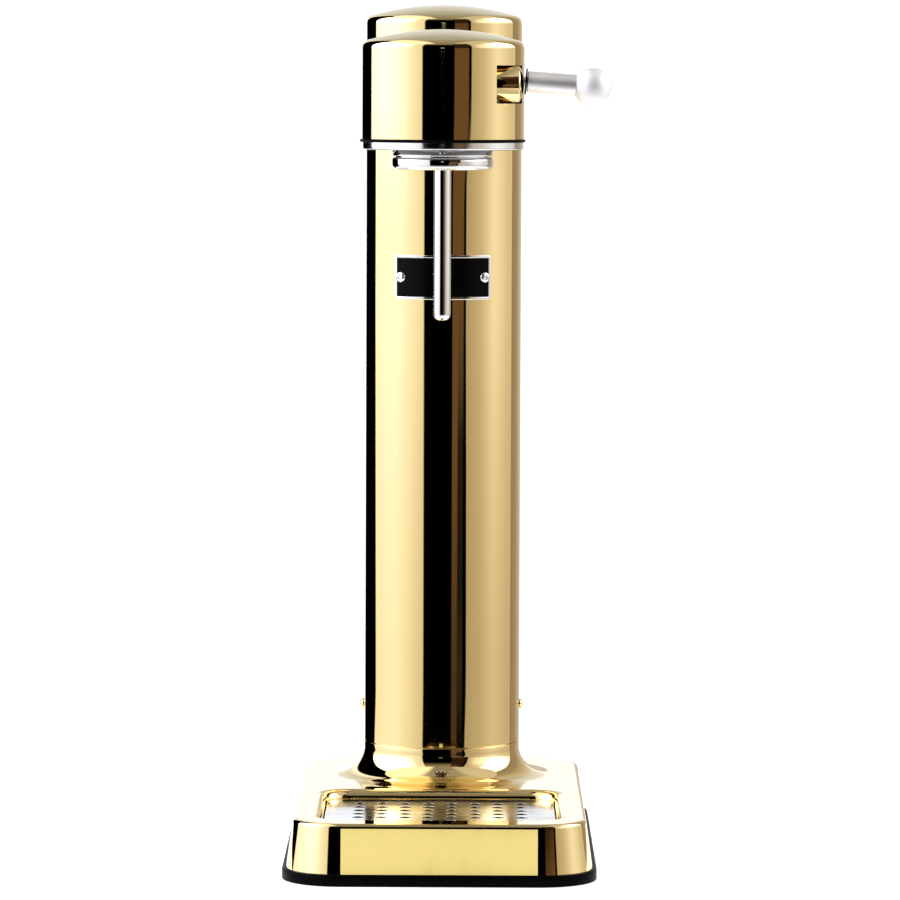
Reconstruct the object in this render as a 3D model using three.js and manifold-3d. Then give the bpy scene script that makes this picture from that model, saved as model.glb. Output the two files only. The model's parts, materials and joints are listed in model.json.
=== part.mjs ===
// Sparkling water maker, in millimetres: +Z up, the front is -Y and the lever stands out on +X.
// The origin is on the table under the middle of the foot.

import * as THREE from 'three';
import { mergeVertices } from 'three/addons/utils/BufferGeometryUtils.js';
import Module from 'manifold-3d';

const wasm = await Module();
wasm.setup();

// Clearances shared by all pieces
const seat = 0.3; // between a piece and what it sits on or in
const lip = 0.1; // between the flat faces under the head
const overrun = 2; // of a cutting tool past the face that it leaves
const weld = 0.0001; // corners nearer than this are one corner

// Facets
const wideSides = 28;
const middleSides = 16;
const smallSides = 10;
const screwSides = 6;
const cornerSteps = 4;
const edgeSteps = 2;
const domeSteps = 4;

// Foot and base
const footWidth = 149;
const footDepth = 257;
const footHeight = 5.5;
const footCorner = 28;
const footLedge = 2; // the foot stands out past the metal by this
const shellHeight = 23.5;
const shellDraft = 3.25; // each side leans in by this over the height
const shellWall = 1.2;
const shellInnerEdge = 0.8; // radius inside the top edge
const plateThickness = 3;
const studRadius = 3.5;
const studInset = 8.6; // of a stud's axis from the front and back of the shell's top
const studSpreadShare = 0.7; // of half the shell's top width

// Flare from the base up to the tower
const flareReach = 17;
const flareHeight = 16.5;

// Gas cylinder, which sets the tower's width and height
const cylinderRadius = 30;
const cylinderLift = 4; // of its bottom above the table
const cylinderLength = 316;
const cylinderNeckRadius = 12;
const cylinderNeckLength = 6;
const cylinderShoulder = 26;
const cylinderBase = 6; // bottom rounding
const valveRadius = 10.4;
const valveLength = 22;
const valvePinRadius = 2;
const valvePinRise = 3; // above the valve
const valvePinLength = 9;

// Tower
const cylinderRoom = 5; // between the cylinder and its liner
const linerWall = 2.5;
const towerWall = 1.2;
const towerRearMargin = 23.5; // from the tower's back to the foot's back edge
const towerHeadroom = 52.5; // from the frame plate up to the end of the straight wall
const crownInnerEdge = 2.4;
const crownSlope = 0.2915; // radians, of a dome where it meets its edge

// Head and neck
const neckLength = 35; // clear distance between the two rounds
const neckHalf = 26; // at the waist
const neckRoot = 34;
const neckHeadroom = 38.5;
const headHeadroom = 39.5;
const headWall = 1.2;
const gasketThickness = 1.4;
const gasketProud = 0.7;
const gasketWidth = 3.5;
const underplateThickness = 3.5;
const underplateInset = 0.3;
const underplateChamfer = 0.9;

// Frame plate that carries the mechanism
const frameThickness = 4;
const frameHeadroom = 1; // between the cylinder valve and the plate
const frameWaist = 20;
const frameBossRadius = 3.2;
const frameBossHeight = 12;

// Bottle collar and carbonation tube
const collarRadius = 24.4;
const collarHeight = 6.3;
const collarShoulder = 3.2;
const collarShoulderInset = 2.2;
const collarEdge = 0.8;
const collarMouthRadius = 20.5;
const collarMouthDepth = 6.5;
const collarHubRadius = 7.5;
const collarHubRecess = 1.5;
const collarScrewCount = 4;
const collarScrewRadius = 1.1;
const collarScrewProud = 0.7;
const collarScrewLength = 2.2;
const sealThickness = 1.6;
const tubeRadius = 4.15;
const tubeBore = 2.2;
const tubeDrop = 72.3; // from the collar's lower face to the tube's tip
const tubeTipHole = 0.9;
const tubeNose = 3.2;
const bodyRadius = 11;
const bodyHeight = 15;
const bodyFlange = 2;
const reliefRadius = 4.5;
const reliefHeight = 5.5;
const reliefSides = 6;

// Name plate
const nameHeight = 21.9;
const nameArc = 48.8;
const nameDrop = 69.3; // of the plate's middle below the frame plate
const nameThickness = 1.5;
const nameBorder = 1.3;
const nameFieldDepth = 0.6;
const nameCorner = 1.5;
const nameScrewArc = 20.9;
const nameScrewRadius = 2.6;
const nameScrewHead = 1.1;
const nameScrewShank = 1.1;
const nameSteps = 12;

// Side screws low on the tower
const sideScrewRise = 18.3; // above the seam
const sideScrewRadius = 2.4;
const sideScrewHead = 1.7;
const sideScrewShank = 1.3;

// Hidden screws
const screwHeadRadius = 2.6;
const screwHeadHeight = 1.8;
const screwShankRadius = 1.3;
const screwReach = 7;

// Tray and its perforated plate
const frontLand = 13.5;
const sideLand = 8.75;
const backLand = 8.5;
const pocketRim = 4.7; // radius of the rounded rim
const pocketCorner = 12;
const pocketDepth = 15;
const trayGap = 0.4;
const trayWall = 0.9;
const grilleThickness = 1.2;
const grilleHole = 2.7;
const grillePitchAcross = 11.2;
const grillePitchAlong = 11.8;
const grilleMarginAcross = 16;
const grilleMarginAlong = 13;
const grilleHoleSides = 6;

// Lever
const barrelRadius = 8.75;
const barrelRise = 22; // of its axis above the frame plate
const barrelForward = 18.6; // of its axis in front of the head's middle
const barrelProud = 0.2; // its dome's top inside the head's widest line
const barrelDome = 17.5; // radius of its end, centred on the pivot
const barrelBack = 4.5; // from the pivot to its inner end
const barrelSlot = 2.7; // half the slot's width
const barrelSlotTop = 5.9;
const pillarHalfLength = 3;
const pillarHalfWidth = 6.5;
const saddleShare = 0.8; // of the barrel's radius, from its axis down to the saddle's top
const windowLeft = 4.3; // from the pivot to the window's straight edge
const leverDroop = 0.0785; // radians below level at rest
const leverOffset = 2.9; // of the rod's axis above the pivot
const pinRadius = 2;
const eyeRadius = 5;
const eyeHalf = 2.3;
const fingerReach = 8.6;
const fingerRadius = 3.3;
const neckRodRadius = 2.3;
const washerRadius = 6.2;
const washerThickness = 0.8;
const rodStartRadius = 4.95;
const rodEndRadius = 5.15;
const rodLength = 23.46;
const rodEdge = 0.6;
const ballRadius = 9.1;
const ballStemRadius = 2;
const ballStemLength = 8;

// Rocker and plunger
const rockerRise = 7; // of its pivot above the barrel's axis
const rockerPivotShare = 0.4602; // of the way from the head's middle to the tower's
const rockerHalf = 5;
const rockerThickness = 6;
const rockerBoss = 5.5;
const rockerPinRadius = 2.5;
const rockerPad = 4; // past the finger and past the plunger's middle
const contactGap = 0.4;
const bracketWall = 2;
const bracketHalfLength = 11;
const plungerRadius = 3;
const plungerHead = 6.5;
const plungerHeadHeight = 2.5;
const socketWall = 6.3;
const socketCap = 6;
const socketFlange = 2.5;
const socketGrip = 16; // depth of the valve in the socket
const plungerTravel = 2.95;
const springWire = 0.65; // radius
const springRadius = 5.2;
const springCurls = 5;
const springStepsPerCurl = 8;
const springSides = 5;

// Gas pipe
const pipeRadius = 2;
const pipeSideways = 18;
const pipeSteps = 14;
const pipeSides = 8;

// Places worked out from the sizes
const linerRadius = cylinderRadius + cylinderRoom + linerWall;
const towerRadius = linerRadius + seat + towerWall;
const headRadius = towerRadius;
const armReach = towerRadius + neckLength + headRadius;
const towerY = footDepth / 2 - towerRearMargin - towerRadius;
const headY = towerY - armReach;
const shellTop = footHeight + shellHeight;
const seamZ = shellTop + flareHeight;
const shellEdge = shellWall + shellInnerEdge;
const cylinderTop = cylinderLift + cylinderLength;
const frameBottom = cylinderTop + cylinderNeckLength + valveLength + frameHeadroom;
const frameTop = frameBottom + frameThickness;
const towerWallTop = frameTop + towerHeadroom;
const crownEdge = towerWall + crownInnerEdge;
const headWallTop = frameTop + headHeadroom;
const neckTop = frameTop + neckHeadroom;
const headBottom = frameBottom - lip;
const gasketTop = headBottom - lip;
const gasketBottom = gasketTop - gasketThickness;
const underplateTop = gasketBottom - lip;
const underplateBottom = underplateTop - underplateThickness;
const collarTop = underplateBottom - lip;
const collarWaist = collarTop - collarShoulder;
const collarBottom = collarWaist - collarHeight;
const tubeTip = collarBottom - tubeDrop;
const nameZ = frameBottom - nameDrop;
const barrelZ = frameTop + barrelRise;
const pivotX = headRadius - barrelProud - barrelDome;
const rockerZ = barrelZ + rockerRise;
const rockerY = armReach * rockerPivotShare;
const rockerBottom = rockerZ - rockerThickness / 2;
const plungerTop = rockerBottom - contactGap;
const socketTop = frameTop + socketCap;
const linerTop = frameBottom - lip;
const plateBottom = footHeight + lip;
const plateTop = plateBottom + plateThickness;
const halfFoot = { x: footWidth / 2, y: footDepth / 2 };
const halfBottom = { x: halfFoot.x - footLedge, y: halfFoot.y - footLedge };
const halfTop = { x: halfBottom.x - shellDraft, y: halfBottom.y - shellDraft };
const pocketBack = towerY - towerRadius - flareReach - backLand;
const pocketFront = frontLand - halfTop.y;
const pocketMiddle = (pocketBack + pocketFront) / 2;
const halfPocket = {
  x: halfTop.x - sideLand - pocketRim,
  y: (pocketBack - pocketFront) / 2 - pocketRim,
};
const pocketFloor = shellTop - pocketDepth;
const grilleTop = shellTop - pocketRim;
const grilleBottom = grilleTop - grilleThickness;

// Closed geometry to solid: corners merged, empty triangles dropped, faces turned outwards.
function solid(geometry) {
  geometry.deleteAttribute('normal');
  geometry.deleteAttribute('uv');
  const merged = mergeVertices(geometry, weld);
  const places = merged.attributes.position.array;
  const triangles = [];
  let sixVolumes = 0;
  for (let i = 0; i < merged.index.count; i += 3) {
    const [a, b, c] = merged.index.array.slice(i, i + 3);
    if (a !== b && b !== c && c !== a) {
      const [p, q, r] = [a, b, c].map((k) => new THREE.Vector3().fromArray(places, k * 3));
      sixVolumes += p.dot(q.cross(r));
      triangles.push([a, b, c]);
    }
  }
  const order = sixVolumes > 0 ? [0, 1, 2] : [0, 2, 1];
  const triVerts = Uint32Array.from(triangles.flatMap((t) => order.map((k) => t[k])));
  return new wasm.Manifold(new wasm.Mesh({ numProp: 3, vertProperties: places, triVerts }));
}

// Round body about the vertical through (x, y), from a profile of [radius, height] corners.
function turned(profile, sides = middleSides, x = 0, y = 0) {
  const outline = profile.map(([radius, height]) => new THREE.Vector2(radius, height));
  return solid(new THREE.LatheGeometry(outline, sides).rotateX(Math.PI / 2).translate(x, y, 0));
}

// Plain ring or disc: a turned body with square edges.
function ring(outer, inner, bottom, top, sides = middleSides, x = 0, y = 0) {
  if (inner === 0) {
    return turned([[0, bottom], [outer, bottom], [outer, top], [0, top]], sides, x, y);
  }
  const profile = [[inner, bottom], [outer, bottom], [outer, top], [inner, top], [inner, bottom]];
  return turned(profile, sides, x, y);
}

function box(x0, x1, y0, y1, z0, z1) {
  const geometry = new THREE.BoxGeometry(x1 - x0, y1 - y0, z1 - z0);
  return solid(geometry.translate((x0 + x1) / 2, (y0 + y1) / 2, (z0 + z1) / 2));
}

// Round body about the X axis, from a profile of [radius, x] corners.
function turnedAlongX(profile, sides) {
  const outline = profile.map(([radius, along]) => new THREE.Vector2(radius, along));
  return new THREE.LatheGeometry(outline, sides).rotateZ(-Math.PI / 2);
}

// Straight round bar along X from x0 to x1 at (y, z).
function barAlongX(radius, x0, x1, y, z, sides = smallSides) {
  return solid(turnedAlongX([[0, x0], [radius, x0], [radius, x1], [0, x1]], sides).translate(0, y, z));
}

// Straight round bar along Y from y0 to y1 at (x, z).
function barAlongY(radius, y0, y1, x, z, sides = smallSides) {
  const geometry = new THREE.CylinderGeometry(radius, radius, y1 - y0, sides);
  return solid(geometry.translate(x, (y0 + y1) / 2, z));
}

// Flat outline carried straight up from bottom to top.
function prism(shape, bottom, top) {
  const settings = { depth: top - bottom, bevelEnabled: false, curveSegments: cornerSteps };
  return solid(new THREE.ExtrudeGeometry(shape, settings).translate(0, 0, bottom));
}

// Corners of a rounded rectangle at one height, counter-clockwise.
function roundedRing(half, corner, z, middleY = 0) {
  const ringPoints = [];
  const turns = [[1, 1], [-1, 1], [-1, -1], [1, -1]];
  turns.forEach(([sx, sy], quarter) => {
    for (let i = 0; i <= cornerSteps; i += 1) {
      const angle = (quarter + i / cornerSteps) * (Math.PI / 2);
      const x = sx * (half.x - corner) + corner * Math.cos(angle);
      const y = sy * (half.y - corner) + corner * Math.sin(angle) + middleY;
      ringPoints.push([x, y, z]);
    }
  });
  return ringPoints;
}

// Body through a stack of rings with equal numbers of corners, closed with a fan at both ends.
function loft(rings) {
  const count = rings[0].length;
  const places = rings.flat(2);
  const faces = [];
  for (let k = 0; k + 1 < rings.length; k += 1) {
    for (let i = 0; i < count; i += 1) {
      const j = (i + 1) % count;
      const [a, b, c, d] = [k * count + i, k * count + j, (k + 1) * count + i, (k + 1) * count + j];
      faces.push(a, b, d, a, d, c);
    }
  }
  const last = (rings.length - 1) * count;
  for (let i = 1; i + 1 < count; i += 1) {
    faces.push(0, i + 1, i, last, last + i, last + i + 1);
  }
  const geometry = new THREE.BufferGeometry();
  geometry.setAttribute('position', new THREE.Float32BufferAttribute(places, 3));
  geometry.setIndex(faces);
  return solid(geometry);
}

// Profile of a domed top: a small edge rounding, then a shallow dome up to the axis.
function crown(radius, wallTop, edge) {
  const points = [];
  const edgeTurn = Math.PI / 2 - crownSlope;
  for (let i = 0; i <= edgeSteps; i += 1) {
    const angle = (edgeTurn * i) / edgeSteps;
    points.push([radius - edge * (1 - Math.cos(angle)), wallTop + edge * Math.sin(angle)]);
  }
  const [rimRadius, rimTop] = points[edgeSteps];
  const domeRadius = rimRadius / Math.sin(crownSlope);
  const domeCentre = rimTop - domeRadius * Math.cos(crownSlope);
  for (let i = 1; i <= domeSteps; i += 1) {
    const angle = crownSlope * (1 - i / domeSteps);
    points.push([domeRadius * Math.sin(angle), domeCentre + domeRadius * Math.cos(angle)]);
  }
  return points;
}

// Screw along Z whose head sits on the level z: up is 1 for a shank that points up and -1 for one that
// points down. With room, it is the hole that such a screw needs, open behind its head.
function screw({ x, y, z, reach, up }, room = 0) {
  const head = screwHeadRadius + room;
  const shank = screwShankRadius + room;
  const behind = room > 0 ? screwHeadHeight + overrun : screwHeadHeight;
  const profile = [[0, -behind], [head, -behind], [head, room], [shank, room], [shank, reach + room],
    [0, reach + room]];
  return turned(profile.map(([radius, along]) => [radius, z + up * along]), screwSides, x, y);
}

// Screws at a list of places, as numbered pieces.
function screws(name, places, finish = 'steel') {
  return places.map((place, i) => piece(`${name}_${i + 1}`, screw(place), finish));
}

function cutScrewHoles(body, places) {
  return places.reduce((rest, place) => rest.subtract(screw(place, seat)), body);
}

const finishes = {
  gold: { color: 0xd8b45c, roughness: 0.08, metalness: 1 },
  steel: { color: 0xd0d1d2, roughness: 0.12, metalness: 1 },
  brass: { color: 0xb99a52, roughness: 0.35, metalness: 1 },
  aluminium: { color: 0xb4b6b8, roughness: 0.4, metalness: 1 },
  cylinder: { color: 0x8f9296, roughness: 0.45, metalness: 0.6 },
  rubber: { color: 0x141414, roughness: 0.7, metalness: 0 },
  plastic: { color: 0x2a2b2d, roughness: 0.55, metalness: 0 },
  enamel: { color: 0x0b0b0c, roughness: 0.25, metalness: 0 },
};

// Named mesh from a solid, with a material of its own.
function piece(name, body, finish) {
  const { vertProperties, triVerts } = body.getMesh();
  const geometry = new THREE.BufferGeometry();
  geometry.setAttribute('position', new THREE.BufferAttribute(vertProperties, 3));
  geometry.setIndex(new THREE.BufferAttribute(triVerts, 1));
  geometry.computeVertexNormals();
  const mesh = new THREE.Mesh(geometry, new THREE.MeshStandardMaterial(finishes[finish]));
  mesh.name = name;
  return mesh;
}

const studPlaces = [1, -1].flatMap((sy) => [1, -1].map((sx) => ({
  x: sx * halfTop.x * studSpreadShare,
  y: sy * (halfTop.y - studInset),
})));
const baseScrewPlaces = studPlaces.map(({ x, y }) => ({
  x, y, z: plateBottom + screwHeadHeight, reach: screwReach, up: 1,
}));

// Hole through the foot and the base plate that the gas cylinder passes through.
function cylinderHole() {
  return ring(cylinderRadius + 2 * seat, 0, -overrun, plateTop + overrun, wideSides, 0, towerY);
}

function rubberFoot() {
  const rings = [0, footHeight].map((z) => roundedRing(halfFoot, footCorner, z));
  return piece('rubber_foot', loft(rings).subtract(cylinderHole()), 'rubber');
}

// The base's drafted block at a depth below its skin, with a rounded top edge.
function baseBlock(depth, bottom) {
  const top = shellTop - depth;
  const edge = shellEdge - depth;
  const corner = footCorner - footLedge - depth;
  const half = (z) => {
    const lean = (shellDraft * (z - footHeight)) / shellHeight;
    return { x: halfBottom.x - lean - depth, y: halfBottom.y - lean - depth };
  };
  const rings = [roundedRing(half(bottom), corner, bottom)];
  for (let i = 0; i <= edgeSteps; i += 1) {
    const angle = (Math.PI / 2) * (i / edgeSteps);
    const { x, y } = half(top - edge);
    const back = edge * (1 - Math.cos(angle));
    const z = top - edge * (1 - Math.sin(angle));
    rings.push(roundedRing({ x: x - back, y: y - back }, corner - shellDraft - back, z));
  }
  return loft(rings);
}

// The flare at a depth below its skin: a concave quarter ellipse round the tower's foot.
function flare(depth, top) {
  const reach = towerRadius + flareReach;
  const bottom = shellTop - depth - seat;
  const profile = [[0, bottom], [reach, bottom]];
  for (let i = 0; i <= domeSteps; i += 1) {
    const angle = (Math.PI / 2) * (i / domeSteps);
    const radius = reach - (flareReach + depth) * Math.sin(angle);
    profile.push([radius, seamZ - (flareHeight + depth) * Math.cos(angle)]);
  }
  profile.push([towerRadius - depth, top], [0, top]);
  return turned(profile, wideSides, 0, towerY);
}

// The tray pocket at a distance outside its skin, its rim a convex quarter round.
function pocket(outside, bottom, top) {
  const half = { x: halfPocket.x + outside, y: halfPocket.y + outside };
  const corner = pocketCorner + outside;
  const radius = pocketRim - outside;
  const rings = [roundedRing(half, corner, bottom, pocketMiddle)];
  for (let i = 0; i <= edgeSteps; i += 1) {
    const angle = (Math.PI / 2) * (i / edgeSteps);
    const out = radius * (1 - Math.cos(angle));
    const z = grilleTop + radius * Math.sin(angle);
    rings.push(roundedRing({ x: half.x + out, y: half.y + out }, corner + out, z, pocketMiddle));
  }
  const { x, y } = half;
  rings.push(roundedRing({ x: x + radius, y: y + radius }, corner + radius, top, pocketMiddle));
  return loft(rings);
}

// Base shell: a drawn skin with the flare, the tray pocket and four studs for the base plate's screws.
function baseShell() {
  const halfFlat = { x: halfTop.x - shellEdge, y: halfTop.y - shellEdge };
  const flatCorner = footCorner - footLedge - shellDraft - shellEdge;
  const heights = [shellTop - shellWall - overrun, seamZ + 2 * overrun];
  const clip = loft(heights.map((z) => roundedRing(halfFlat, flatCorner, z)));
  let shell = baseBlock(0, footHeight + lip)
    .add(flare(0, seamZ).intersect(clip))
    .subtract(baseBlock(shellWall, footHeight - overrun))
    .subtract(flare(shellWall, seamZ + overrun).intersect(clip))
    .add(pocket(shellWall, pocketFloor - shellWall, shellTop - shellEdge / 2))
    .subtract(pocket(0, pocketFloor, shellTop + overrun));
  for (const { x, y } of studPlaces) {
    shell = shell.add(ring(studRadius, 0, plateTop + lip, shellTop - shellWall / 2, smallSides, x, y));
  }
  return piece('base_shell', cutScrewHoles(shell, baseScrewPlaces), 'gold');
}

// Base plate inside the shell's lower edge.
function basePlate() {
  const lean = (shellDraft * (plateTop - footHeight)) / shellHeight;
  const inset = shellWall + lean + seat;
  const half = { x: halfBottom.x - inset, y: halfBottom.y - inset };
  const corner = footCorner - footLedge - inset;
  const plate = loft([plateBottom, plateTop].map((z) => roundedRing(half, corner, z)));
  return piece('base_plate', cutScrewHoles(plate.subtract(cylinderHole()), baseScrewPlaces), 'plastic');
}

const halfTray = { x: halfPocket.x - trayGap, y: halfPocket.y - trayGap };
const trayCorner = pocketCorner - trayGap;

// Drip tray: a thin pan standing on the pocket's floor.
function dripTray() {
  const bottom = pocketFloor + lip;
  const top = grilleBottom - lip;
  const inner = { x: halfTray.x - trayWall, y: halfTray.y - trayWall };
  const outside = loft([bottom, top].map((z) => roundedRing(halfTray, trayCorner, z, pocketMiddle)));
  const inside = loft([bottom + trayWall, top + overrun].map(
    (z) => roundedRing(inner, trayCorner - trayWall, z, pocketMiddle),
  ));
  return piece('drip_tray', outside.subtract(inside), 'plastic');
}

// Perforated plate on the tray's rim, with as many rows of holes as its margins leave room for.
function dripGrille() {
  const levels = [grilleBottom, grilleTop];
  let plate = loft(levels.map((z) => roundedRing(halfTray, trayCorner, z, pocketMiddle)));
  const across = Math.floor((2 * (halfTray.x - grilleMarginAcross)) / grillePitchAcross);
  const along = Math.floor((2 * (halfTray.y - grilleMarginAlong)) / grillePitchAlong);
  for (let i = 0; i <= across; i += 1) {
    for (let j = 0; j <= along; j += 1) {
      const x = (i - across / 2) * grillePitchAcross;
      const y = pocketMiddle + (j - along / 2) * grillePitchAlong;
      plate = plate.subtract(
        ring(grilleHole, 0, grilleBottom - overrun, grilleTop + overrun, grilleHoleSides, x, y),
      );
    }
  }
  return piece('drip_grille', plate, 'steel');
}

// Round-headed screw along +X whose head sits at x = 0.
function buttonScrew(radius, head, shank, reach) {
  const profile = [[0, -reach], [shank, -reach], [shank, 0], [radius, 0],
    [radius * Math.SQRT1_2, head * Math.SQRT1_2], [0, head]];
  return solid(turnedAlongX(profile, screwSides));
}

// Bar along the radius at an angle and a height, from a distance off the axis out past the tower's wall.
function radialBar(radius, angle, z, sides = screwSides, from = 0) {
  const length = towerRadius + 2 * overrun;
  const geometry = turnedAlongX([[0, from], [radius, from], [radius, length], [0, length]], sides);
  return solid(geometry.rotateZ(angle).translate(0, 0, z));
}

// Button-headed screws round an axis: each stands at a radius and an angle.
function radialScrews(names, angles, radius, z, body, finish) {
  return names.map((name, i) => {
    const mesh = piece(name, body, finish);
    mesh.position.set(radius * Math.cos(angles[i]), radius * Math.sin(angles[i]), z);
    mesh.rotation.z = angles[i];
    return mesh;
  });
}

const sideScrewZ = seamZ + sideScrewRise;
const sideScrewAngles = [0, Math.PI];
const nameScrewAngles = [1, -1].map((side) => (side * nameScrewArc) / towerRadius - Math.PI / 2);

// Cuts the holes for the side screws and the name plate's screws.
function cutRadialHoles(body) {
  const side = sideScrewAngles.map((angle) => radialBar(sideScrewShank + seat, angle, sideScrewZ));
  const name = nameScrewAngles.map((angle) => radialBar(nameScrewShank + seat, angle, nameZ));
  return [...side, ...name].reduce((rest, bar) => rest.subtract(bar), body);
}

// Tower tube drawn in one with its dome, in the tower's own frame, with a passage to the neck.
function towerTube() {
  const rise = crown(towerRadius, towerWallTop, crownEdge);
  const outside = [[0, seamZ + lip], [towerRadius, seamZ + lip], ...rise];
  const inner = towerRadius - towerWall;
  const innerRise = crown(inner, towerWallTop, crownInnerEdge);
  const inside = [[0, seamZ - overrun], [inner, seamZ - overrun], ...innerRise];
  const half = neckHalf - headWall;
  const passage = box(-half, half, -towerRadius - overrun, 0, headBottom, neckTop - headWall);
  const tube = turned(outside, wideSides).subtract(turned(inside, wideSides)).subtract(passage);
  return piece('tower_tube', cutRadialHoles(tube), 'gold');
}

const frameScrewPlaces = [0, 1, 2].map((third) => {
  const angle = Math.PI / 2 + (2 * Math.PI * third) / 3;
  const radius = linerRadius - frameBossRadius - seat;
  return {
    x: radius * Math.cos(angle),
    y: radius * Math.sin(angle),
    z: frameTop + seat,
    reach: frameThickness + screwReach,
    up: -1,
  };
});

// Liner tube inside the tower: it stands on the base plate and carries the frame plate on three bosses.
function towerLiner() {
  let liner = ring(linerRadius, linerRadius - linerWall, plateTop + lip, linerTop, wideSides);
  for (const { x, y } of frameScrewPlaces) {
    liner = liner.add(ring(frameBossRadius, 0, linerTop - frameBossHeight, linerTop, smallSides, x, y));
  }
  return piece('tower_liner', cutScrewHoles(cutRadialHoles(liner), frameScrewPlaces), 'plastic');
}

// Curved plate round the tower's front: an upright section carried along the arc, drawn in at the corners.
function curvedPlate(inner, outer, arc, height, corner) {
  const straight = arc / 2 - corner;
  const ends = [0, 1, 2].map((i) => (Math.PI / 4) * i);
  const left = ends.map((angle) => [-straight - corner * Math.cos(angle), corner * (1 - Math.sin(angle))]);
  const middle = [];
  for (let i = 1; i < nameSteps; i += 1) {
    middle.push([straight * ((2 * i) / nameSteps - 1), 0]);
  }
  const right = left.map(([along, drop]) => [-along, drop]).reverse();
  return loft([...left, ...middle, ...right].map(([along, drop]) => {
    const angle = along / towerRadius - Math.PI / 2;
    const top = height / 2 - drop;
    const section = [[inner, -top], [outer, -top], [outer, top], [inner, top]];
    return section.map(([radius, z]) => [radius * Math.cos(angle), radius * Math.sin(angle), z + nameZ]);
  }));
}

const nameInner = towerRadius + lip;
const nameOuter = nameInner + nameThickness;
const nameRecess = nameOuter - nameFieldDepth;

// Name plate: a curved steel plate with a raised border round a recess.
function namePlate() {
  const recess = curvedPlate(
    nameRecess,
    nameOuter + overrun,
    nameArc - 2 * nameBorder,
    nameHeight - 2 * nameBorder,
    nameCorner / 2,
  );
  const plate = curvedPlate(nameInner, nameOuter, nameArc, nameHeight, nameCorner).subtract(recess);
  return piece('name_plate', cutNameScrewHeads(cutRadialHoles(plate)), 'steel');
}

// Room round the heads of the name plate's screws, down to the recess.
function cutNameScrewHeads(body) {
  return nameScrewAngles.reduce(
    (rest, angle) => rest.subtract(radialBar(nameScrewRadius + seat, angle, nameZ, smallSides, nameRecess)),
    body,
  );
}

// Black field in the recess, notched round the two screws and left bare.
function namePlateField() {
  const border = nameBorder + lip;
  const field = curvedPlate(
    nameRecess + lip,
    nameOuter - lip,
    nameArc - 2 * border,
    nameHeight - 2 * border,
    nameCorner / 2,
  );
  return piece('name_plate_field', cutNameScrewHeads(field), 'enamel');
}

// Gas cylinder with a rounded bottom, a round shoulder and a neck.
function gasCylinder() {
  const profile = [[0, cylinderLift], [cylinderRadius - cylinderBase, cylinderLift],
    [cylinderRadius, cylinderLift + cylinderBase]];
  for (let i = 0; i <= domeSteps; i += 1) {
    const angle = (Math.PI / 2) * (i / domeSteps);
    const radius = cylinderNeckRadius + (cylinderRadius - cylinderNeckRadius) * Math.cos(angle);
    profile.push([radius, cylinderTop - cylinderShoulder * (1 - Math.sin(angle))]);
  }
  const neckTopZ = cylinderTop + cylinderNeckLength;
  profile.push([cylinderNeckRadius, neckTopZ], [0, neckTopZ]);
  return piece('gas_cylinder', turned(profile, middleSides), 'cylinder');
}

const valveBottom = cylinderTop + cylinderNeckLength + lip;
const valveTop = frameBottom - frameHeadroom;
const valvePinTop = valveTop + valvePinRise;
const valvePinBottom = valvePinTop - valvePinLength;

// Brass valve on the cylinder, bored for its pin.
function cylinderValve() {
  const boreBottom = valvePinBottom - plungerTravel - seat;
  const bore = ring(valvePinRadius + seat, 0, boreBottom, valveTop + overrun, smallSides);
  const body = ring(valveRadius, 0, valveBottom, valveTop);
  return piece('cylinder_valve', body.subtract(bore), 'brass');
}

function valvePin() {
  return piece('valve_pin', ring(valvePinRadius, 0, valvePinBottom, valvePinTop, smallSides), 'steel');
}

const socketBottom = valveTop - socketGrip;
const socketOuter = valveRadius + seat + socketWall;

// Socket that the cylinder's valve screws up into, hung by its flange in the frame plate.
function cylinderSocket() {
  const flangeBottom = frameTop + lip;
  const body = [[0, socketBottom], [socketOuter, socketBottom], [socketOuter, flangeBottom],
    [socketOuter + socketFlange, flangeBottom], [socketOuter + socketFlange, socketTop], [0, socketTop]];
  const bore = ring(valveRadius + seat, 0, socketBottom - overrun, valveTop + seat);
  const passage = ring(plungerRadius + seat, 0, valveTop, socketTop + overrun, smallSides);
  return piece('cylinder_socket', turned(body).subtract(bore).subtract(passage), 'aluminium');
}

// Plunger over the valve's pin, with the head that the rocker presses.
function valvePlunger() {
  const profile = [[0, valvePinTop + contactGap], [plungerRadius, valvePinTop + contactGap],
    [plungerRadius, plungerTop - plungerHeadHeight], [plungerHead, plungerTop - plungerHeadHeight],
    [plungerHead, plungerTop], [0, plungerTop]];
  return piece('valve_plunger', turned(profile, smallSides), 'steel');
}

// Spring between the socket and the plunger's head: one wire wound as a helix of even pitch.
function returnSpring() {
  const bottom = socketTop + lip + springWire;
  const rise = plungerTop - plungerHeadHeight - lip - springWire - bottom;
  const steps = springCurls * springStepsPerCurl;
  const rings = [];
  for (let i = 0; i <= steps; i += 1) {
    const turn = (2 * Math.PI * i) / springStepsPerCurl;
    const section = [];
    for (let j = 0; j < springSides; j += 1) {
      const around = (2 * Math.PI * j) / springSides;
      const radius = springRadius + springWire * Math.cos(around);
      const z = bottom + (rise * i) / steps + springWire * Math.sin(around);
      section.push([radius * Math.cos(turn), radius * Math.sin(turn), z]);
    }
    rings.push(section);
  }
  const curlGap = rise / springCurls - 2 * springWire;
  console.log(`return spring, least gap between curls: ${curlGap.toFixed(2)} mm`);
  return piece('return_spring', loft(rings), 'steel');
}

// Neck outline in the head's frame, grown sideways, drawn in to a waist between the two rounds.
function neckOutline(grow) {
  const root = neckRoot + grow;
  const waist = 2 * (neckHalf + grow) - root;
  const shape = new THREE.Shape();
  shape.moveTo(-root, 0);
  shape.lineTo(root, 0);
  shape.quadraticCurveTo(waist, armReach / 2, root, armReach);
  shape.lineTo(-root, armReach);
  shape.quadraticCurveTo(-waist, armReach / 2, -root, 0);
  return shape;
}

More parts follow.
